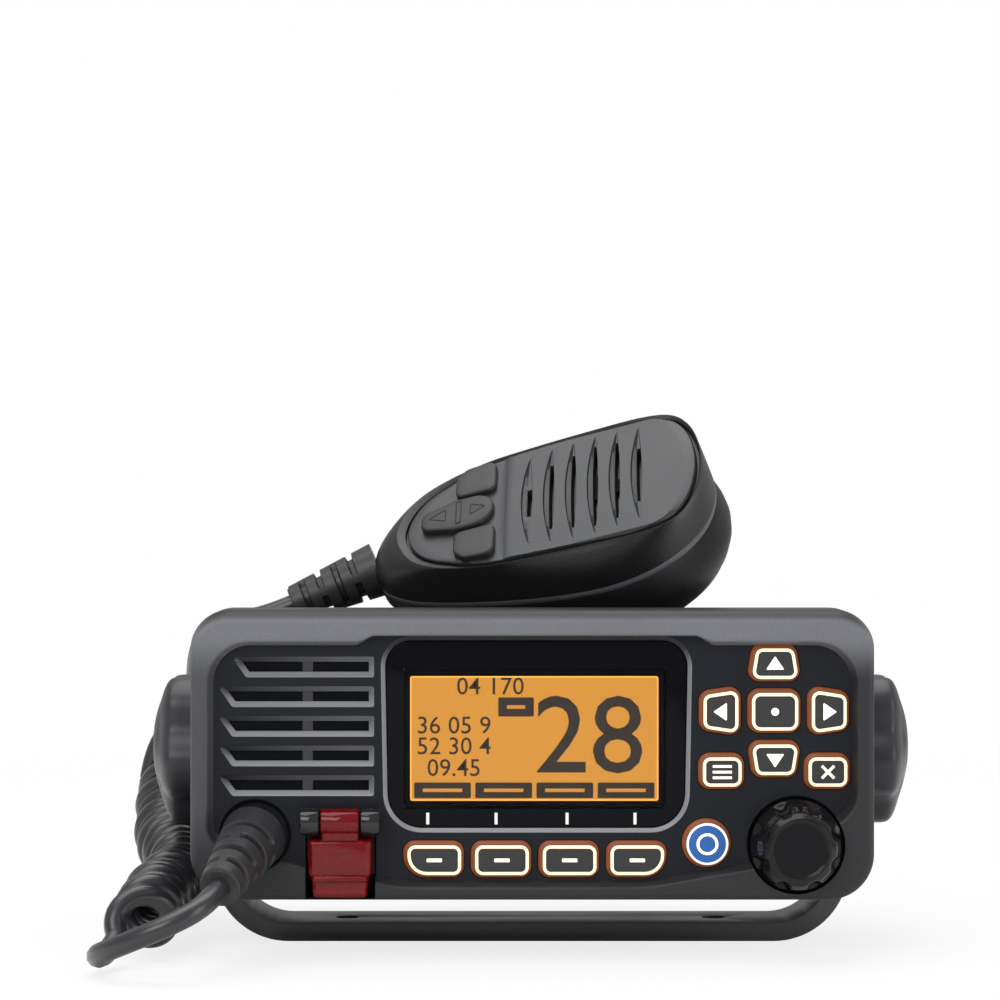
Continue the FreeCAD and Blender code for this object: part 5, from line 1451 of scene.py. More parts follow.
    def denser_front(self, rows: list[Array]) -> list[Array]:
        """Adds rows to the flat front, between the outer rounding's last and the inner one's first.

        Args:
            rows: two rows of the wall, those of the outer rounding, and the inner ones.

        Returns:
            The rows with those between.
        """
        split = 2 + self.edge_rows
        outer, inner = rows[split - 1], rows[split]
        between = [outer * (1 - share) + inner * share
                   for share in np.linspace(0, 1, self.front_rows)[1:-1]]
        return rows[:split] + between + rows[split:]

    def sunk(self, grid: Array) -> Array:
        """Pushes points inwards over the dial's well, the cord's socket and the cover's bay.

        A point within a circle goes down to that circle's floor, and one close to it is first
        moved onto it, so that the edge comes out round. The bay does the same along its sides.

        Args:
            grid: the rim's points up to its sunk face.

        Returns:
            The points, moved.
        """
        out = grid.copy()
        front = grid[..., 2] > -5.9
        for middle, radius in ((self.dial, self.dial_well), (self.socket, self.socket_seat)):
            away = out[..., :2] - middle
            reach = np.linalg.norm(away, axis=-1)
            near = front & (np.abs(reach - radius) < self.snap)
            moved = away / reach[..., None] * (radius + 0.02) + middle
            out[..., :2] = np.where(near[..., None], moved, out[..., :2])
            lower = np.minimum(out[..., 2], FLOOR - self.well_drop)
            out[..., 2] = np.where(front & (reach < radius - self.snap), lower, out[..., 2])
        left, right, low, high = self.bay
        level = front & (out[..., 1] > low) & (out[..., 1] < high)
        across = out[..., 0]
        for side in (left, right):
            across = np.where(level & (np.abs(across - side) < self.snap), side, across)
        over = level & (across > left + 0.01) & (across < right - 0.01)
        out[..., 0] = across
        out[..., 2] = np.where(over, np.minimum(out[..., 2], FLOOR - self.bay_drop), out[..., 2])
        return out

    def slot_outline(self, row: float, grow: float) -> Array:
        """Corners of one slot's mouth, with its slanting left end.

        Args:
            row: the height of the slot's middle.
            grow: the margin by which it is grown.

        Returns:
            The corners, each with its radius.
        """
        left = self.slot_left + (self.top_slot_trim if row == self.slot_rows[-1] else 0.0)
        low, high = row - self.slot_half, row + self.slot_half
        slot = np.array([(left + self.slot_slant, low, 0.9), (self.slot_right, low, 0.5),
                         (self.slot_right, high, 0.5), (left, high, 0.7)])
        return grown(slot, grow)

    def plate(self) -> Piece:
        """The sunk face, with all that is cut through it."""
        holes = [rounded(self.slot_outline(row, 0.0), 5) for row in self.slot_rows]
        holes.append(rounded(grown(self.window, 0.9), 12))
        holes += [key.outline(0.72) for key in PANEL_KEYS]
        holes.append(circle(*self.dial, self.dial_well, 128))
        holes.append(circle(*self.socket, self.socket_seat, 96))
        holes.append(rounded_box(*self.bay, 0.9, 8))
        return flat_plate("panel_face", rounded(grown(self.face, 0.35), 16), holes, self.wall, 0.14,
                          raised(on_panel, FLOOR))

    def grille(self) -> Piece:
        """The slots' bevelled mouths, going in to their openings, and the rib behind them; painted shade
        darkens all but the lower bevels, which keep their pale grey as a painted highlight.
        """
        made = []
        for number, row in enumerate(self.slot_rows):
            mouth = self.slot_outline(row, 0.06)
            opening = self.slot_outline(row, -1.2)
            levels = [(mouth, FLOOR - 0.04), (opening, FLOOR - 1.35), (opening, PANEL_BACK)]
            grid = stack([(rounded(corners, 5), height) for corners, height in levels])
            # Painted shade: the bevels that don't face up go dark, less so at the slot's right end, and the
            # back row black.
            end = np.where(grid[..., 0] > self.slot_right - 1.4, 0.45, 0.93)
            dark = np.where(grid[..., 1] < row - 0.9, 0.0, end)
            dark[2] = 1.0
            made.append(from_grid(f"slot_{number}", grid, on_panel, sharp=25.0, marks={"painted_shade": dark}))
        rib = tapered(box_corners(*self.rib, 24.0, 55.6, 0.4),
                      [(0.3, PANEL_BACK), (0.0, PANEL_BACK), *fillet(0.0, FLOOR - 1.5, 0.5)])
        # Painted shade on the rib behind the slots.
        made.append(from_grid("grille_rib", rib, on_panel, Ends.BOTH,
                              marks={"painted_shade": np.full(rib.shape[:2], 0.9)}))
        return joined("grille_bevels", made)

    def shade_sheet(self) -> Piece:
        """A thin near-black sheet behind the grille: painted shade in the slots' depths."""
        return block("grille_shade_sheet", box_corners(-73.0, -35.2, 22.6, 56.8, 1.0),
                     [(0.0, PANEL_BACK + 0.1), (0.0, PANEL_BACK + 0.5)])

    def window_bevel(self) -> Piece:
        """The polished bevel that goes down to the display window, with painted shade over its upper side.
        """
        levels = [(0.95, FLOOR - 0.02), (0.75, FLOOR - 0.02), (0.0, FLOOR - 0.75), (0.0, PANEL_BACK)]
        grid = tapered(np.array(self.window), levels, 14)
        # Painted shade, growing towards the bevel's top.
        dark = np.clip((grid[..., 1] - 52) / 6, 0, 0.93)
        return from_grid("window_bevel", grid, on_panel, sharp=30.0, marks={"painted_shade": dark})

    def wells(self) -> Piece:
        """The dial's well, the cord socket's seat and the floor of the distress key's bay."""
        parts = []
        for middle, radius, name in ((self.dial, self.dial_well, "dial_well"),
                                     (self.socket, self.socket_seat, "socket_seat")):
            profile = [(radius + 0.02, FLOOR - 0.1), (radius - 0.25, FLOOR - 0.9),
                       (radius - 0.9, FLOOR - self.well_drop), (3.4, FLOOR - self.well_drop)]
            parts.append(from_grid(name, turned(profile) + (*middle, 0), on_panel, Ends.LAST))
        parts.append(block("bay_floor", box_corners(*self.bay, 0.9),
                           [(0.02, FLOOR), (-0.3, FLOOR - self.bay_drop)], 5, Ends.LAST))
        return joined("panel_wells", parts)

    def build(self) -> None:
        """Makes and dresses the panel's pieces."""
        dress(self.rim(), "radio", "panel_plastic", RIM_PLASTIC, "front_panel")
        dress(self.plate(), "radio", "panel_plastic", FLOOR_PLASTIC)
        dress(self.grille(), "radio", "panel_plastic", BEVEL_PLASTIC)
        dress(self.window_bevel(), "radio", "panel_plastic", BEVEL_PLASTIC)
        dress(self.wells(), "radio", "panel_plastic", FLOOR_PLASTIC)
        dress(self.shade_sheet(), "radio", "paper_cone", GRILLE_SHADE_SHEET)


# ---- keys

class Symbol(Enum):
    """What is printed on a key."""

    UP = "up"
    DOWN = "down"
    LEFT = "left"
    RIGHT = "right"
    DOT = "dot"
    BARS = "bars"
    CROSS = "cross"
    RING = "ring"
    DASH = "dash"


SKIRT_SHIFT = 0.22
FOOT_SHIFT = 0.2


@dataclass
class PanelKey:
    """One lit key: a clear rim with a dark cap set in it, a symbol, and a flange behind."""

    node: str
    x: float
    y: float
    corners: tuple | None
    symbol: Symbol
    proud: float = 1.25

    def shape(self, margin: float, samples: int = 8) -> Array:
        """The key's outline about its own middle, grown by a margin."""
        if self.corners is None:
            return circle(0, 0, 5.0 + margin, 56)
        return rounded(grown(np.array(self.corners), margin), samples)

    def outline(self, margin: float) -> Array:
        """The key's outline in its place on the panel."""
        return self.shape(margin) + (self.x - SKIRT_SHIFT, self.y + SKIRT_SHIFT)

    def cap(self) -> Piece:
        """Levels from the flange up the side, over the lit rim and down into the cap's dish."""
        top = FLOOR + self.proud
        border = 0.95 if self.corners is not None else 0.75
        flange = [(0.9, -6.8), (0.9, -5.8), (0.6, -5.8)]
        foot = [(0.6, FLOOR - 0.6), (0.6, FLOOR + 0.1), (0.42, FLOOR + 0.35),
                (0.0, top - 0.5), (-0.06, top - 0.3), (-0.18, top - 0.14)]
        rim = [(-0.22, top - 0.11), (-0.38, top - 0.03), (-0.55, top), (-border + 0.04, top)]
        dish = [(-border, top - 0.02), (-border - 0.1, top - 0.12), (-border - 0.35, top - 0.10),
                (-border - 0.9, top - 0.04), (-border - 1.6, top)]
        grid = stack([(self.shape(margin), height) for margin, height in flange + foot + rim + dish])
        grid += (self.x, self.y, 0)
        grid[2:6] += (-FOOT_SHIFT, FOOT_SHIFT, 0)
        marks = {"foot": np.zeros(grid.shape[:2]), "rim": np.zeros(grid.shape[:2])}
        marks["foot"][len(flange):len(flange + foot)] = 1
        marks["rim"][len(flange + foot):-len(dish)] = 1
        piece = from_grid(f"{self.node}_cap", grid, on_panel, Ends.BOTH, marks=marks)
        finish = KEY_BLUE if self.corners is None else KEY_BLACK
        slot = "call_key_plastic" if self.corners is None else "key_rubber"
        return dress(piece, self.node, slot, finish, self.node)

    def marks(self) -> list[Array]:
        """The symbol's outlines."""
        quarter = {Symbol.UP: 0, Symbol.LEFT: 1, Symbol.DOWN: 2, Symbol.RIGHT: 3}
        if self.symbol in quarter:
            arrow = np.array([(-2.1, -1.35, 0.15), (2.1, -1.35, 0.15), (0.0, 1.75, 0.15)])
            return [rounded(spun(arrow, quarter[self.symbol] * math.pi / 2), 3)]
        if self.symbol is Symbol.DASH:
            return [rounded_box(-1.75, 1.75, -0.42, 0.42, 0.15, 3)]
        if self.symbol is Symbol.BARS:
            return [rounded_box(-2.2, 2.2, y - 0.3, y + 0.3, 0.1, 3) for y in (-1.3, 0.0, 1.3)]
        if self.symbol is Symbol.CROSS:
            bar = box_corners(-2.0, 2.0, -0.32, 0.32, 0.1)
            return [rounded(spun(bar, turn), 3) for turn in (math.pi / 4, -math.pi / 4)]
        if self.symbol is Symbol.DOT:
            return [circle(0, 0, 0.9, 28)]
        return [circle(0, 0, 2.5, 40)]

    def legend(self) -> Piece:
        """The symbol, laid a hair above the cap."""
        middle = (self.x, self.y)
        holes = [circle(*middle, 1.85, 40)] if self.symbol is Symbol.RING else []
        piece = flat_marks(f"{self.node}_legend", [mark + middle for mark in self.marks()],
                           raised(on_panel, FLOOR + self.proud + 0.045), holes)
        return dress(piece, self.node, "key_rubber", INK)


def upright(low: float, high: float, depth: float, radius: float = 2.0) -> tuple:
    """Corners of a trapezoid by its lower and upper widths."""
    return ((-low / 2, -depth / 2, radius), (low / 2, -depth / 2, radius),
            (high / 2, depth / 2, radius), (-high / 2, depth / 2, radius))


def sideways(left: float, right: float, depth: float, radius: float = 2.0) -> tuple:
    """Corners of a key that is taller on one side."""
    return ((-depth / 2, -left / 2, radius), (depth / 2, -right / 2, radius),
            (depth / 2, right / 2, radius), (-depth / 2, left / 2, radius))


def soft_corners(number: int) -> tuple:
    """Corners of a soft key; the outer lower corner of the first and the last is rounder.

    Args:
        number: which of the four it is, from the left.

    Returns:
        The corners, each with its radius.
    """
    left, right, *upper = upright(12.7, 12.7, 7.2)
    rounder = 4.6
    left = (*left[:2], rounder) if number == 0 else left
    right = (*right[:2], rounder) if number == 3 else right
    return (left, right, *upper)


PANEL_KEYS = [
    PanelKey("key_enter", 55.6, 43.0, upright(11.0, 11.0, 9.0, 2.2), Symbol.DOT),
    PanelKey("key_up", 55.6, 54.0, upright(11.3, 8.9, 7.4), Symbol.UP),
    PanelKey("key_down", 55.6, 32.0, upright(8.9, 11.3, 7.4), Symbol.DOWN),
    PanelKey("key_left", 43.2, 43.0, sideways(7.9, 10.4, 8.4), Symbol.LEFT),
    PanelKey("key_right", 68.0, 43.0, sideways(10.4, 7.9, 8.4), Symbol.RIGHT),
    PanelKey("key_menu", 43.5, 29.2, upright(9.3, 9.3, 7.1), Symbol.BARS),
    PanelKey("key_clear", 67.7, 29.2, upright(9.3, 9.3, 7.1), Symbol.CROSS),
    PanelKey("key_call", 40.1, 12.7, None, Symbol.RING),
    *(PanelKey(f"soft_key_{n + 1}", 0.8 + 15.5 * (n - 1.5), 9.0, soft_corners(n), Symbol.DASH)
      for n in range(4)),]


# ---- display

@dataclass
class Display:
    """The window, the lit screen behind it and its plain figures."""

    middle: Pair = (0.55, 36.7)
    half: Pair = (30.15, 16.1)
    screen_level: float = -7.15
    small_height: float = 3.9

    def pane(self) -> None:
        """The window: a slightly softened plate set flush in its bevel."""
        levels = [(0.0, -6.8), (0.0, FLOOR - 1.3), *fillet(-0.05, FLOOR - 1.1, 0.3, 4)]
        piece = block("display_pane", FrontPanel.window, levels, 14)
        finish = WindowPane("window_pane", (self.middle[0], PANEL_BASE + self.middle[1]), self.half)
        dress(piece, "radio", "window_clear", finish, "display_window")

    def screen(self) -> None:
        """The dark frame, the lit field inside it, and the figures."""
        x, y = self.middle
        wide, tall = self.half
        piece = block("display_frame", box_corners(x - wide, x + wide, y - tall, y + tall, 0.8),
                      [(0.0, -9.6), *fillet(0.0, self.screen_level, 0.2, 3)])
        dress(piece, "radio", "lcd_glass", DARK_GAP, "lcd_panel")
        field = rounded_box(-28.1, 29.1, 22.2, 50.9, 0.5, 4)
        lit = flat_marks("display_field", [field], raised(on_panel, self.screen_level + 0.08))
        dress(lit, "radio", "lcd_glass", SCREEN)
        glow = flat_marks("display_lamp_line", [field], raised(on_panel, self.screen_level + 0.10),
                          [rounded_box(-27.8, 28.8, 22.5, 50.6, 0.4, 4)])
        dress(glow, "radio", "lcd_glass", SCREEN_EDGE)

    def figures(self) -> None:
        """Plain figures and bars, as square-edged dark segments."""
        level = self.screen_level + 0.14
        place = raised(on_panel, level)
        parts = [figures_on(place, "28", 17.6, (13.2, 36.4), 0.045, 1.02)]
        parts += [figures_on(place, words, self.small_height, middle, 0.012, 1.0)
                  for words, middle in (("04 170", (-9.6, 48.4)), ("36 05 9", (-18.0, 39.4)),
                                        ("52 30 4", (-18.0, 34.6)), ("09.45", (-18.0, 29.6)))]
        for left, right, low, high in ((-27.2, -14.1, 22.8, 26.4), (-13.1, 0.0, 22.8, 26.4),
                                       (1.0, 14.1, 22.8, 26.4), (15.1, 28.2, 22.8, 26.4),
                                       (-7.8, 0.4, 41.6, 46.0)):
            middle = (low + high) / 2
            slit = rounded_box(left + 2.0, right - 2.0, middle - 0.4, middle + 0.4, 0.1, 3)
            parts.append(flat_marks("figure_bar", [rounded_box(left, right, low, high, 0.3, 3)],
                                    raised(on_panel, level + 0.03), [slit]))
        piece = joined("display_figures", parts)
        dress(piece, "radio", "lcd_glass", SEGMENTS)

    def ticks(self) -> None:
        """The four pale ticks below the screen, printed on the window."""
        outlines = [rounded_box(x - 0.35, x + 0.35, 17.0, 19.7, 0.1, 3) for x in (-24.0, -8.3, 8.0, 23.6)]
        piece = flat_marks("window_ticks", outlines, raised(on_panel, FLOOR - 1.08))
        dress(piece, "radio", "window_clear", TICK_INK)

    def build(self) -> None:
        """Makes and dresses the display."""
        self.pane()
        self.screen()
        self.figures()
        self.ticks()


# ---- distress cover and dial

@dataclass
class DistressCover:
    """The clear red cover that flips up, its hinge barrels and knuckle."""

    x: float = -43.9
    hinge_height: float = 18.1
    stand: float = 1.4
    reach: float = 3.1

    def shell(self) -> Piece:
        """A closed shell: levels outwards over the cover, then down its inner side.

        The outline has wide shoulders and a narrower lower lip.
        """
        low, lip = 0.6, 14.4
        outline = np.array([
            (-6.3, low, 1.2), (6.3, low, 1.2), (6.7, 5.3, 0.8), (7.4, 6.2, 0.8), (7.4, lip, 0.9),
            (-7.4, lip, 0.9), (-7.4, 6.2, 0.8), (-6.7, 5.3, 0.8)]) + (self.x, 0, 0)
        foot, top = FLOOR + 0.3, FLOOR + 6.2
        levels = [(0.0, foot), (-0.12, foot + 3.0), *fillet(-0.3, top, 1.1)]
        inner = [(-2.0, top - 1.2), (-1.3, top - 2.0), (-1.2, foot)]
        skin = block("cover_skin", outline, levels, 7, Ends.LAST)
        lining = block("cover_lining", outline, inner, 7, Ends.FIRST)
        return joined("red_cover_shell", [skin, lining])

    def ridge(self) -> Piece:
        """The finger ridge across the cover's lower half."""
        return block("cover_ridge", box_corners(self.x - 6.2, self.x + 6.2, 4.6, 6.0, 0.6),
                     [(0.3, FLOOR + 5.6), *fillet(0.0, FLOOR + 7.3, 0.6)], 6)

    def knuckle(self, name: str, left: float, right: float, radius: float) -> Piece:
        """A barrel along the hinge, with rounded ends.

        Args:
            name: the piece's name.
            left: where it starts.
            right: where it ends.
            radius: its radius.

        Returns:
            The object.
        """
        soft = 0.5
        half = [(0.0, left), (radius - soft, left), (radius - 0.15, left + 0.15), (radius, left + soft)]
        grid = turned(half + [(reach, left + right - out) for reach, out in half[::-1]], 48)
        place = np.stack([grid[..., 2], grid[..., 0] + self.hinge_height, grid[..., 1] + self.stand], -1)
        return from_grid(name, place, on_panel, Ends.BOTH)

    def build(self) -> None:
        """Makes and dresses the cover and its hinge."""
        knuckle = self.knuckle("cover_knuckle", self.x - 4.4, self.x + 4.4, 3.0)
        web = block("cover_web", box_corners(self.x - 4.3, self.x + 4.3, 13.6, 18.2, 0.4),
                    [(0.0, FLOOR + 2.6), *fillet(0.0, FLOOR + 6.0, 0.7, 4)], 4)
        cover = joined("red_cover", [self.shell(), self.ridge(), knuckle, web])
        dress(cover, "distress_cover", "cover_red", COVER_RED, "distress_cover")
        barrels = [self.knuckle(f"barrel_{n}", self.x + a, self.x + b, 3.15)
                   for n, (a, b) in enumerate(((-9.1, -4.75), (4.75, 9.1)))]
        dress(joined("hinge_barrels", barrels), "radio", "steel", BARREL_GLOSS, "distress_hinge_pin")


@dataclass
class Dial:
    """The fluted volume dial: a skirt, eight scalloped flutes, a bevel ring and a satin face."""

    x: float = FrontPanel.dial[0]
    y: float = FrontPanel.dial[1]
    flutes: int = 8
    scallop: float = 1.25

    def build(self) -> None:
        """Makes the dial as a profile whose radius dips at each flute.

        The dip is a smooth scallop over the angle, deepest halfway up the side, and fades out
        at the skirt and below the bevel ring.
        """
        base, face = FLOOR + 0.6, FLOOR + 13.5
        profile = smooth_line([(10.2, base), (10.5, base + 0.5), (10.5, base + 2.2), (10.2, base + 3.0),
                               (9.9, base + 4.6), (9.5, base + 8.4), (9.0, face - 3.0),
                               (8.3, face - 1.4), (7.5, face - 0.5), (7.1, face - 0.1)], 64)
        rim = np.array([(6.95, face), (6.5, face), (6.3, face - 0.12), (6.2, face - 0.42),
                        (6.0, face - 0.5)])
        disc = np.array([(5.2, face - 0.52), (3.2, face - 0.46), (1.2, face - 0.44)])
        whole = np.vstack([profile, rim])
        around, height = full_turn(192), whole[:, 1:]
        scallop = np.clip((np.cos(around * self.flutes + np.pi) - 0.15) / 0.85, 0, 1) ** 0.75
        rise = np.clip((height - base - 2.2) / 1.6, 0, 1) * np.clip((face - 0.6 - height) / 3.2, 0, 1)
        rise = np.sin(np.clip(rise, 0, 1) * np.pi / 2)
        radius = whole[:, :1] - self.scallop * scallop * rise
        grid = polar(radius, around, height) + (self.x, self.y, 0)
        body = from_grid("dial_body", grid, on_panel, Ends.FIRST)
        dress(body, "volume_dial", "knob_plastic", DIAL_GLOSS, "volume_knob")
        cap = from_grid("dial_disc", turned(np.vstack([rim[-1:], disc]), 96) + (self.x, self.y, 0),
                        on_panel, Ends.LAST)
        dress(cap, "volume_dial", "knob_plastic", DIAL_FACE)


# ---- microphone

@dataclass
class Microphone:
    """The hand microphone: two shells with a grey seam, a face plate with slots, and silicone keys.

    Along it runs l from the cord's end, across it w, and height is out of its face. Each outline
    is given by the points of its upper half.
    """

    seam: tuple = (
        (0.0, 0.0), (2.4, 6.8), (8.2, 12.4), (15.7, 16.2), (24.6, 19.6), (33.5, 22.5), (41.5, 24.6),
        (49.2, 26.1), (58.5, 26.9), (67.2, 25.6), (74.4, 22.3), (80.5, 16.8), (84.6, 9.4), (86.1, 0.0))
    lip: tuple = (
        (8.4, 0.0), (9.7, 6.3), (13.0, 12.2), (19.6, 16.9), (30.6, 20.7), (42.0, 22.1), (57.0, 23.0),
        (70.5, 23.2), (78.0, 21.3), (82.2, 16.4), (84.7, 9.0), (85.6, 0.0))
    face: tuple = (
        (11.3, 0.0), (12.4, 5.5), (15.4, 10.6), (21.0, 14.8), (31.0, 19.2), (42.0, 20.6), (57.0, 21.5),
        (70.0, 21.7), (77.0, 19.8), (80.9, 15.5), (83.3, 8.5), (84.2, 0.0))
    groove_floor: float = 8.9
    slot_start: float = 40.3
    slot_step: float = 5.54
    slot_half: tuple[float, ...] = (17.0, 18.6, 19.2, 19.6, 19.1, 18.4)
    slit_half: tuple[float, ...] = (5.0, 12.4, 14.2, 15.6, 14.8, 10.4)
    longest_step: float = 1.6
    tail_radius: float = 19.0
    head_radius: float = 27.2
    head_along: float = 59.0
    count: int = 240

    def outline(self, half: tuple, margin: float = 0.0, steps: int = 16) -> Array:
        """A closed smooth outline through the points of its upper half and their mirror images.

        Args:
            half: the points of its upper half.
            margin: how far it is moved outwards.
            steps: points between two neighbours.

        Returns:
            The outline, evenly sampled.
        """
        side = np.asarray(half, float)
        ring = np.vstack([side * (1, -1), side[-2:0:-1]])
        four = [np.roll(ring, shift, 0)[:, None] for shift in (1, 0, -1, -2)]
        curve = cubic(four, (np.arange(steps) / steps)[None, :, None])
        return evenly(offset(curve.reshape(-1, 2), margin), self.count)

    def egg(self, inset: float, tail_shift: float) -> Array:
        """The back's outline: two arcs and their common tangents.

        Args:
            inset: how far it is set inwards.
            tail_shift: how far the smaller arc is moved along.

        Returns:
            The outline, evenly sampled.
        """
        tail_x, small = self.tail_radius + tail_shift, self.tail_radius - inset
        head_x, large = self.head_along + tail_shift * 0.08, self.head_radius - inset
        touch = math.acos((small - large) / (head_x - tail_x))
        big = np.linspace(-touch, touch, 90)
        little = np.linspace(touch, 2 * np.pi - touch, 90)
        ring = np.vstack([
            np.column_stack([head_x + large * np.cos(big), large * np.sin(big)]),
            np.column_stack([tail_x + small * np.cos(little), small * np.sin(little)])])
        return evenly(ring, self.count)

    def shells(self) -> None:
        """The front shell up to its lip and down into the groove, the seam, and the palm-shaped back.

        The front shell's flank goes from the seam to the lip by 1 - cos of an angle while its
        height follows the angle's sine.
        """
        seam, lip = self.outline(self.seam), self.outline(self.lip)
        levels = [(self.outline(self.seam, -2.0), 0.0), (self.outline(self.seam, -0.25), 0.0)]
        last = math.radians(70)
        for angle in np.linspace(0, last, 12):
            share = (1 - math.cos(angle)) / (1 - math.cos(last))
            levels.append((seam * (1 - share) + lip * share,
                           0.25 + 10.05 * math.sin(angle) / math.sin(last)))
        groove = self.outline(self.face, 0.75)
        levels += [(lip * 0.88 + groove * 0.12, 10.45), (lip * 0.7 + groove * 0.3, 10.4),
                   (groove, 9.75), (groove, self.groove_floor),
                   (self.outline(self.face, -1.2), self.groove_floor)]
        # Painted shade: the groove's floor, its last two rows, goes black.
        painted_shade = np.repeat([0] * (len(levels) - 2) + [1, 1], self.count).astype(float)
        front = from_grid("microphone_front", stack(levels), on_mic, Ends.FIRST, sharp=34.0,
                          marks={"painted_shade": painted_shade})
        dress(front, "microphone", "mic_plastic", MIC_PLASTIC, "mic_front_housing")
        band = stack([(self.outline(self.seam, margin), height) for margin, height in (
            (-0.9, 0.05), (-0.35, 0.0), (-0.15, -0.3), (-0.15, -1.3), (-0.35, -1.6), (-0.9, -1.65))])
        dress(from_grid("microphone_seam", band, on_mic, Ends.BOTH), "microphone", "seam_grey",
              SEAM_RUBBER, "mic_seam_strip")
        top = self.outline(self.seam, -0.1)
        back = [(self.egg(inset, shift), height) for inset, shift, height in (
            (18.0, 30.0, -21.7), (14.5, 28.0, -21.6), (12.0, 27.0, -21.2), (9.4, 25.4, -20.3),
            (6.8, 23.0, -18.9), (4.4, 20.5, -17.0), (2.3, 17.0, -14.6), (0.6, 13.0, -11.9),
            (-0.4, 8.6, -9.0), (-0.6, 4.0, -6.2))]
        blend = top * 0.5 + self.egg(-0.5, 1.2) * 0.5
        back += [(blend, -3.6), (top, -2.1), (self.outline(self.seam, -0.4), -1.6),
                 (self.outline(self.seam, -2.0), -1.6)]
        piece = from_grid("microphone_back", stack(back), on_mic, Ends.BOTH, sharp=50.0)
        dress(piece, "microphone", "mic_plastic", MIC_BACK, "mic_rear_housing")

    def plate(self) -> None:
        """The face plate with its six lens-shaped slots, each with a narrow slit in its floor.

        Columns run across it and rows along it. A slot's left edge is bowed and its right edge is
        nearly straight: with u the distance across it over the slot's half length, the edges are
        1.9 u^2 and 2.7 - 0.8 u^2 past its start. The floor falls from the left edge to the slit,
        whose depth fades out beyond the slit's own half length. The key zone lies a little lower.
        """
        line = self.outline(self.face, steps=40)
        upper = line[line[:, 1] >= 0]
        widest = upper[np.argmax(upper[:, 1])]
        near, far = upper[upper[:, 0] <= widest[0]], upper[upper[:, 0] >= widest[0]]
        near, far = near[np.argsort(near[:, 1])], far[np.argsort(far[:, 1])]
        across = widest[1] * np.sin(np.linspace(-np.pi / 2, np.pi / 2, 221) * 0.996)
        reach = np.abs(across)
        start = np.interp(reach, near[:, 1], near[:, 0])
        end = np.interp(reach, far[:, 1], far[:, 0])
        flat = np.zeros_like(reach)
        # A row holds where it lies along, how far it drops, and its painted shade, which blackens the
        # slits' floors.
        rows = [(start, flat, flat), (start + 0.3, flat, flat)]
        rows += [(np.full_like(reach, stop), flat, flat) for stop in (35.6, 36.3, 37.0)]
        for number, (half, slit) in enumerate(zip(self.slot_half, self.slit_half)):
            first = self.slot_start + self.slot_step * number
            u = np.minimum(reach / half, 1.0)
            left = first + 1.9 * u ** 2
            width = 2.7 * (1 - u ** 2)
            bevel = 1.15 * (1 - u ** 2) ** 0.6
            open_share = np.clip((slit - reach) / 0.5 + 0.5, 0, 1)
            deep = bevel + (3.4 - bevel) * open_share
            half_slit = np.minimum(0.62, width * 0.24)
            middle = left + width * 0.66
            rows += [
                (left - 0.12, flat, flat), (left + 0.1 * (1 - u), bevel * 0.5, flat),
                (middle - half_slit - 0.05, bevel, flat), (middle - half_slit + 0.05, deep, open_share),
                (middle + half_slit - 0.05, deep, open_share),
                (middle + half_slit + 0.05, bevel * 0.85, flat),
                (left + width - 0.05, bevel * 0.5, flat), (left + width + 0.12, flat, flat)]
        table = np.array([*rows, (end - 0.3, flat, flat), (end, flat, flat)])
        table[:, 0] = np.clip(np.maximum.accumulate(table[:, 0], 0), start, end)
        lines = []
        for row, beyond in zip(table, table[1:]):
            cuts = max(1, int(np.max(beyond[0] - row[0]) / self.longest_step))
            lines += [row * (1 - share) + beyond * share for share in np.arange(cuts) / cuts]
        along, drops, shades = np.moveaxis(np.array([*lines, table[-1]]), 1, 0)
        crown = 0.55 * (1 - (across / widest[1]) ** 2)[None] * np.clip((along - 4) / 25, 0.35, 1)
        key_zone = 0.4 * (1 - np.clip((along - 35.6) / 1.4, 0, 1))
        margin = np.minimum(np.minimum(end - along, along - start), (widest[1] - reach)[None] * 1.2)
        soft = np.clip(margin / 0.9, 0, 1)
        height = 9.9 + (crown + 0.75 - key_zone) * np.sin(soft * np.pi / 2) - drops
        grid = np.stack([along, np.broadcast_to(across, along.shape), height], -1)[:, ::-1]
        piece = from_grid("microphone_plate", grid, on_mic, closed=False, sharp=30.0,
                          marks={"painted_shade": shades[:, ::-1]})
        dress(piece, "microphone", "mic_plastic", MIC_FACE)
        wall = stack([(self.outline(self.face), height) for height in (8.8, 9.92)])
        dress(from_grid("microphone_plate_edge", wall, on_mic, sharp=30.0), "microphone",
              "mic_plastic", MIC_FACE)

    def keys(self) -> None:
        """The two side keys, the rocker with its two engraved arrows, and the push-to-talk bar."""
        foot = [(0.5, self.groove_floor), (0.35, 10.2), (0.0, 10.25)]
        for name, side in (("mic_key_upper", 1.0), ("mic_key_lower", -1.0)):
            shape = np.array([(23.7, 7.1, 2.0), (33.9, 6.9, 1.8), (33.9, 18.5, 2.4), (26.2, 17.5, 2.6),
                              (23.7, 14.4, 2.4)]) * (1, side, 1)
            shape = shape if side > 0 else shape[::-1]
            levels = [*foot, (0.0, 11.6), *fillet(0.0, 12.25, 0.6), (-1.6, 12.4), (-3.0, 12.42)]
            cap = block(f"{name}_cap", shape, levels, 9, place=on_mic)
            dress(cap, name, "key_rubber", MIC_SILICONE, name)
        rocker = np.array([(15.3, -3.0, 3.0), (24.0, -5.7, 8.0), (33.5, -5.7, 5.2), (33.5, 5.7, 5.2),
                           (24.0, 5.7, 8.0), (15.3, 3.0, 3.0)])
        levels = [*foot, (0.0, 11.7), *fillet(0.0, 12.45, 0.7), (-1.8, 12.65), (-2.8, 12.68)]
        cap = block("rocker_cap", rocker, levels, 12, place=on_mic)
        dress(cap, "mic_rocker", "key_rubber", MIC_SILICONE, "mic_rocker")
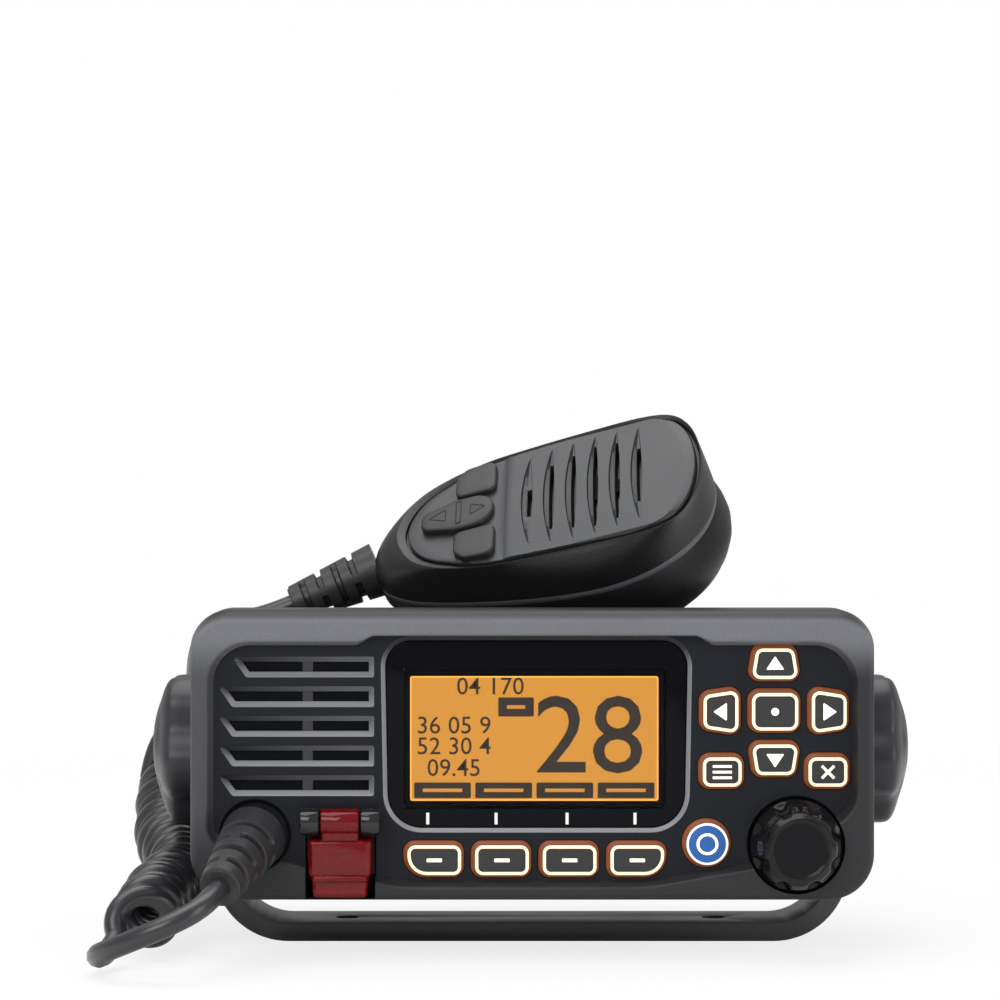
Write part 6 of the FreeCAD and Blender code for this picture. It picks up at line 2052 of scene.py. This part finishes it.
        # The arrows and the bar are thin near-black outlines: painted shade along their edges.
        parts = []
        for outer in (box_corners(24.2, 25.7, -4.3, 4.3, 0.6),
                      np.array([(17.2, 0.0, 0.3), (21.8, -2.5, 0.3), (21.8, 2.5, 0.3)]),
                      np.array([(27.8, -2.3, 0.3), (31.9, 0.0, 0.3), (27.8, 2.3, 0.3)])):
            parts.append(flat_plate("rocker_mark", rounded(outer, 6), [rounded(grown(outer, -0.28), 6)],
                                    0.3, 0.05, raised(on_mic, 12.76)))
        dress(joined("rocker_marks", parts), "mic_rocker", "key_rubber", MIC_GROOVE_SHADE)
        talk = softened_copy("talk_key", 0.7)
        dress(talk, "talk_key", "key_rubber", MIC_SILICONE, "talk_key")

    def build(self) -> None:
        """Makes and dresses the microphone."""
        self.shells()
        self.plate()
        self.keys()


# ---- case, bracket, clamps

@dataclass
class Clamps:
    """The two clamp knobs: five lobes with deep valleys, a domed face and a soft edge."""

    radius: float = 18.65
    width: float = 14.9
    lobes: int = 5
    valley: float = 0.17
    inner: float = 76.3
    height: float = 46.0

    def build(self) -> None:
        """Makes each knob as a profile whose radius dips between the lobes.

        The dip is a raised cosine of the angle to a power, so the lobes are broad and the
        valleys are round; a lobe faces the front.
        """
        profile = smooth_line([(0.86, 0.0), (0.95, 0.25), (1.0, 1.2), (1.0, 5.0), (1.0, 8.8),
                               (0.965, 10.5), (0.86, 11.7), (0.7, 12.7), (0.5, 13.9), (0.3, 14.7),
                               (0.12, self.width)], 72)
        around, front = full_turn(240), -np.pi / 2
        wave = 0.5 - 0.5 * np.cos((around - front) * self.lobes)
        share = profile[:, :1]
        deep = self.valley * wave ** 1.6 * np.clip((share - 0.25) / 0.4, 0, 1)
        radius = self.radius * share * (1 - deep)
        for side, name in ((-1.0, "left"), (1.0, "right")):
            out = side * (self.inner + profile[:, 1:])
            grid = polar(radius, around, out)[..., [2, 0, 1]] + (0, 0, self.height)
            grid = grid if side > 0 else grid[:, ::-1]
            piece = from_grid(f"clamp_knob_{name}", grid, as_given, Ends.BOTH)
            dress(piece, f"clamp_{name}", "knob_plastic", CLAMP_PLASTIC, f"knob_{name}")


class Structure:
    """The bracket, the case and its fittings, with their edges softened."""

    softened: tuple = (
        ("mounting_bracket", "bracket", "bracket_paint", BRACKET_PAINT, 0.6),
        ("case", "radio", "case_casting", CASE_PAINT, 0.5),
        ("antenna_connector", "radio", "connector_nickel", PLATED, 0.3),
        ("lead_gland", "radio", "rubber", SOFT_RUBBER, 0.5),
        ("hanger_stud", "microphone", "hanger_metal", PLATED, 0.4),
        ("side_washer_left", "radio", "rubber", SOFT_RUBBER, 0.3),
        ("side_washer_right", "radio", "rubber", SOFT_RUBBER, 0.3),)

    def build(self) -> None:
        """Makes and dresses the softened copies."""
        for node, body, slot, finish, width in self.softened:
            dress(softened_copy(node, width), body, slot, finish, node)


# ---- main

def declare_cords(cords: list, boots: list[Piece]) -> None:
    """Goes over each stretch of cord with its boot and reads its start and path; nothing is kept.

    Args:
        cords: each stretch's piece, path, length and far end.
        boots: the boot at the end of each.
    """
    for (piece, path, length, far_end), boot in zip(cords, boots):
        start = path[0] if piece.name == "curly_cord" else path[-1]
        tuple(start)
        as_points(path)


def main() -> None:
    """Builds the studio, the cords, and then each sub-assembly."""
    logging.basicConfig(level=logging.INFO, format="%(name)s: %(message)s")
    Studio().build()
    dresser.dress_solids()
    cords = Cord().build()
    boots = [
        Boot("panel_cord_boot", "panel_boot", "radio", (-63.6, -50.0, 28.6), Cord.panel_lead[0], 15.0, 9.2),
        Boot("microphone_cord_boot", "mic_boot", "microphone", MIC_ORIGIN, Cord.mic_lead[-1], 13.4, 9.0)]
    declare_cords(cords, [boot.build() for boot in boots])
    for assembly in (FrontPanel, Display, DistressCover, Dial, Microphone, Clamps, Structure):
        assembly().build()
    for key in PANEL_KEYS:
        key.cap()
        key.legend()
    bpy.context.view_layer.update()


if __name__ == "__main__":
    main()
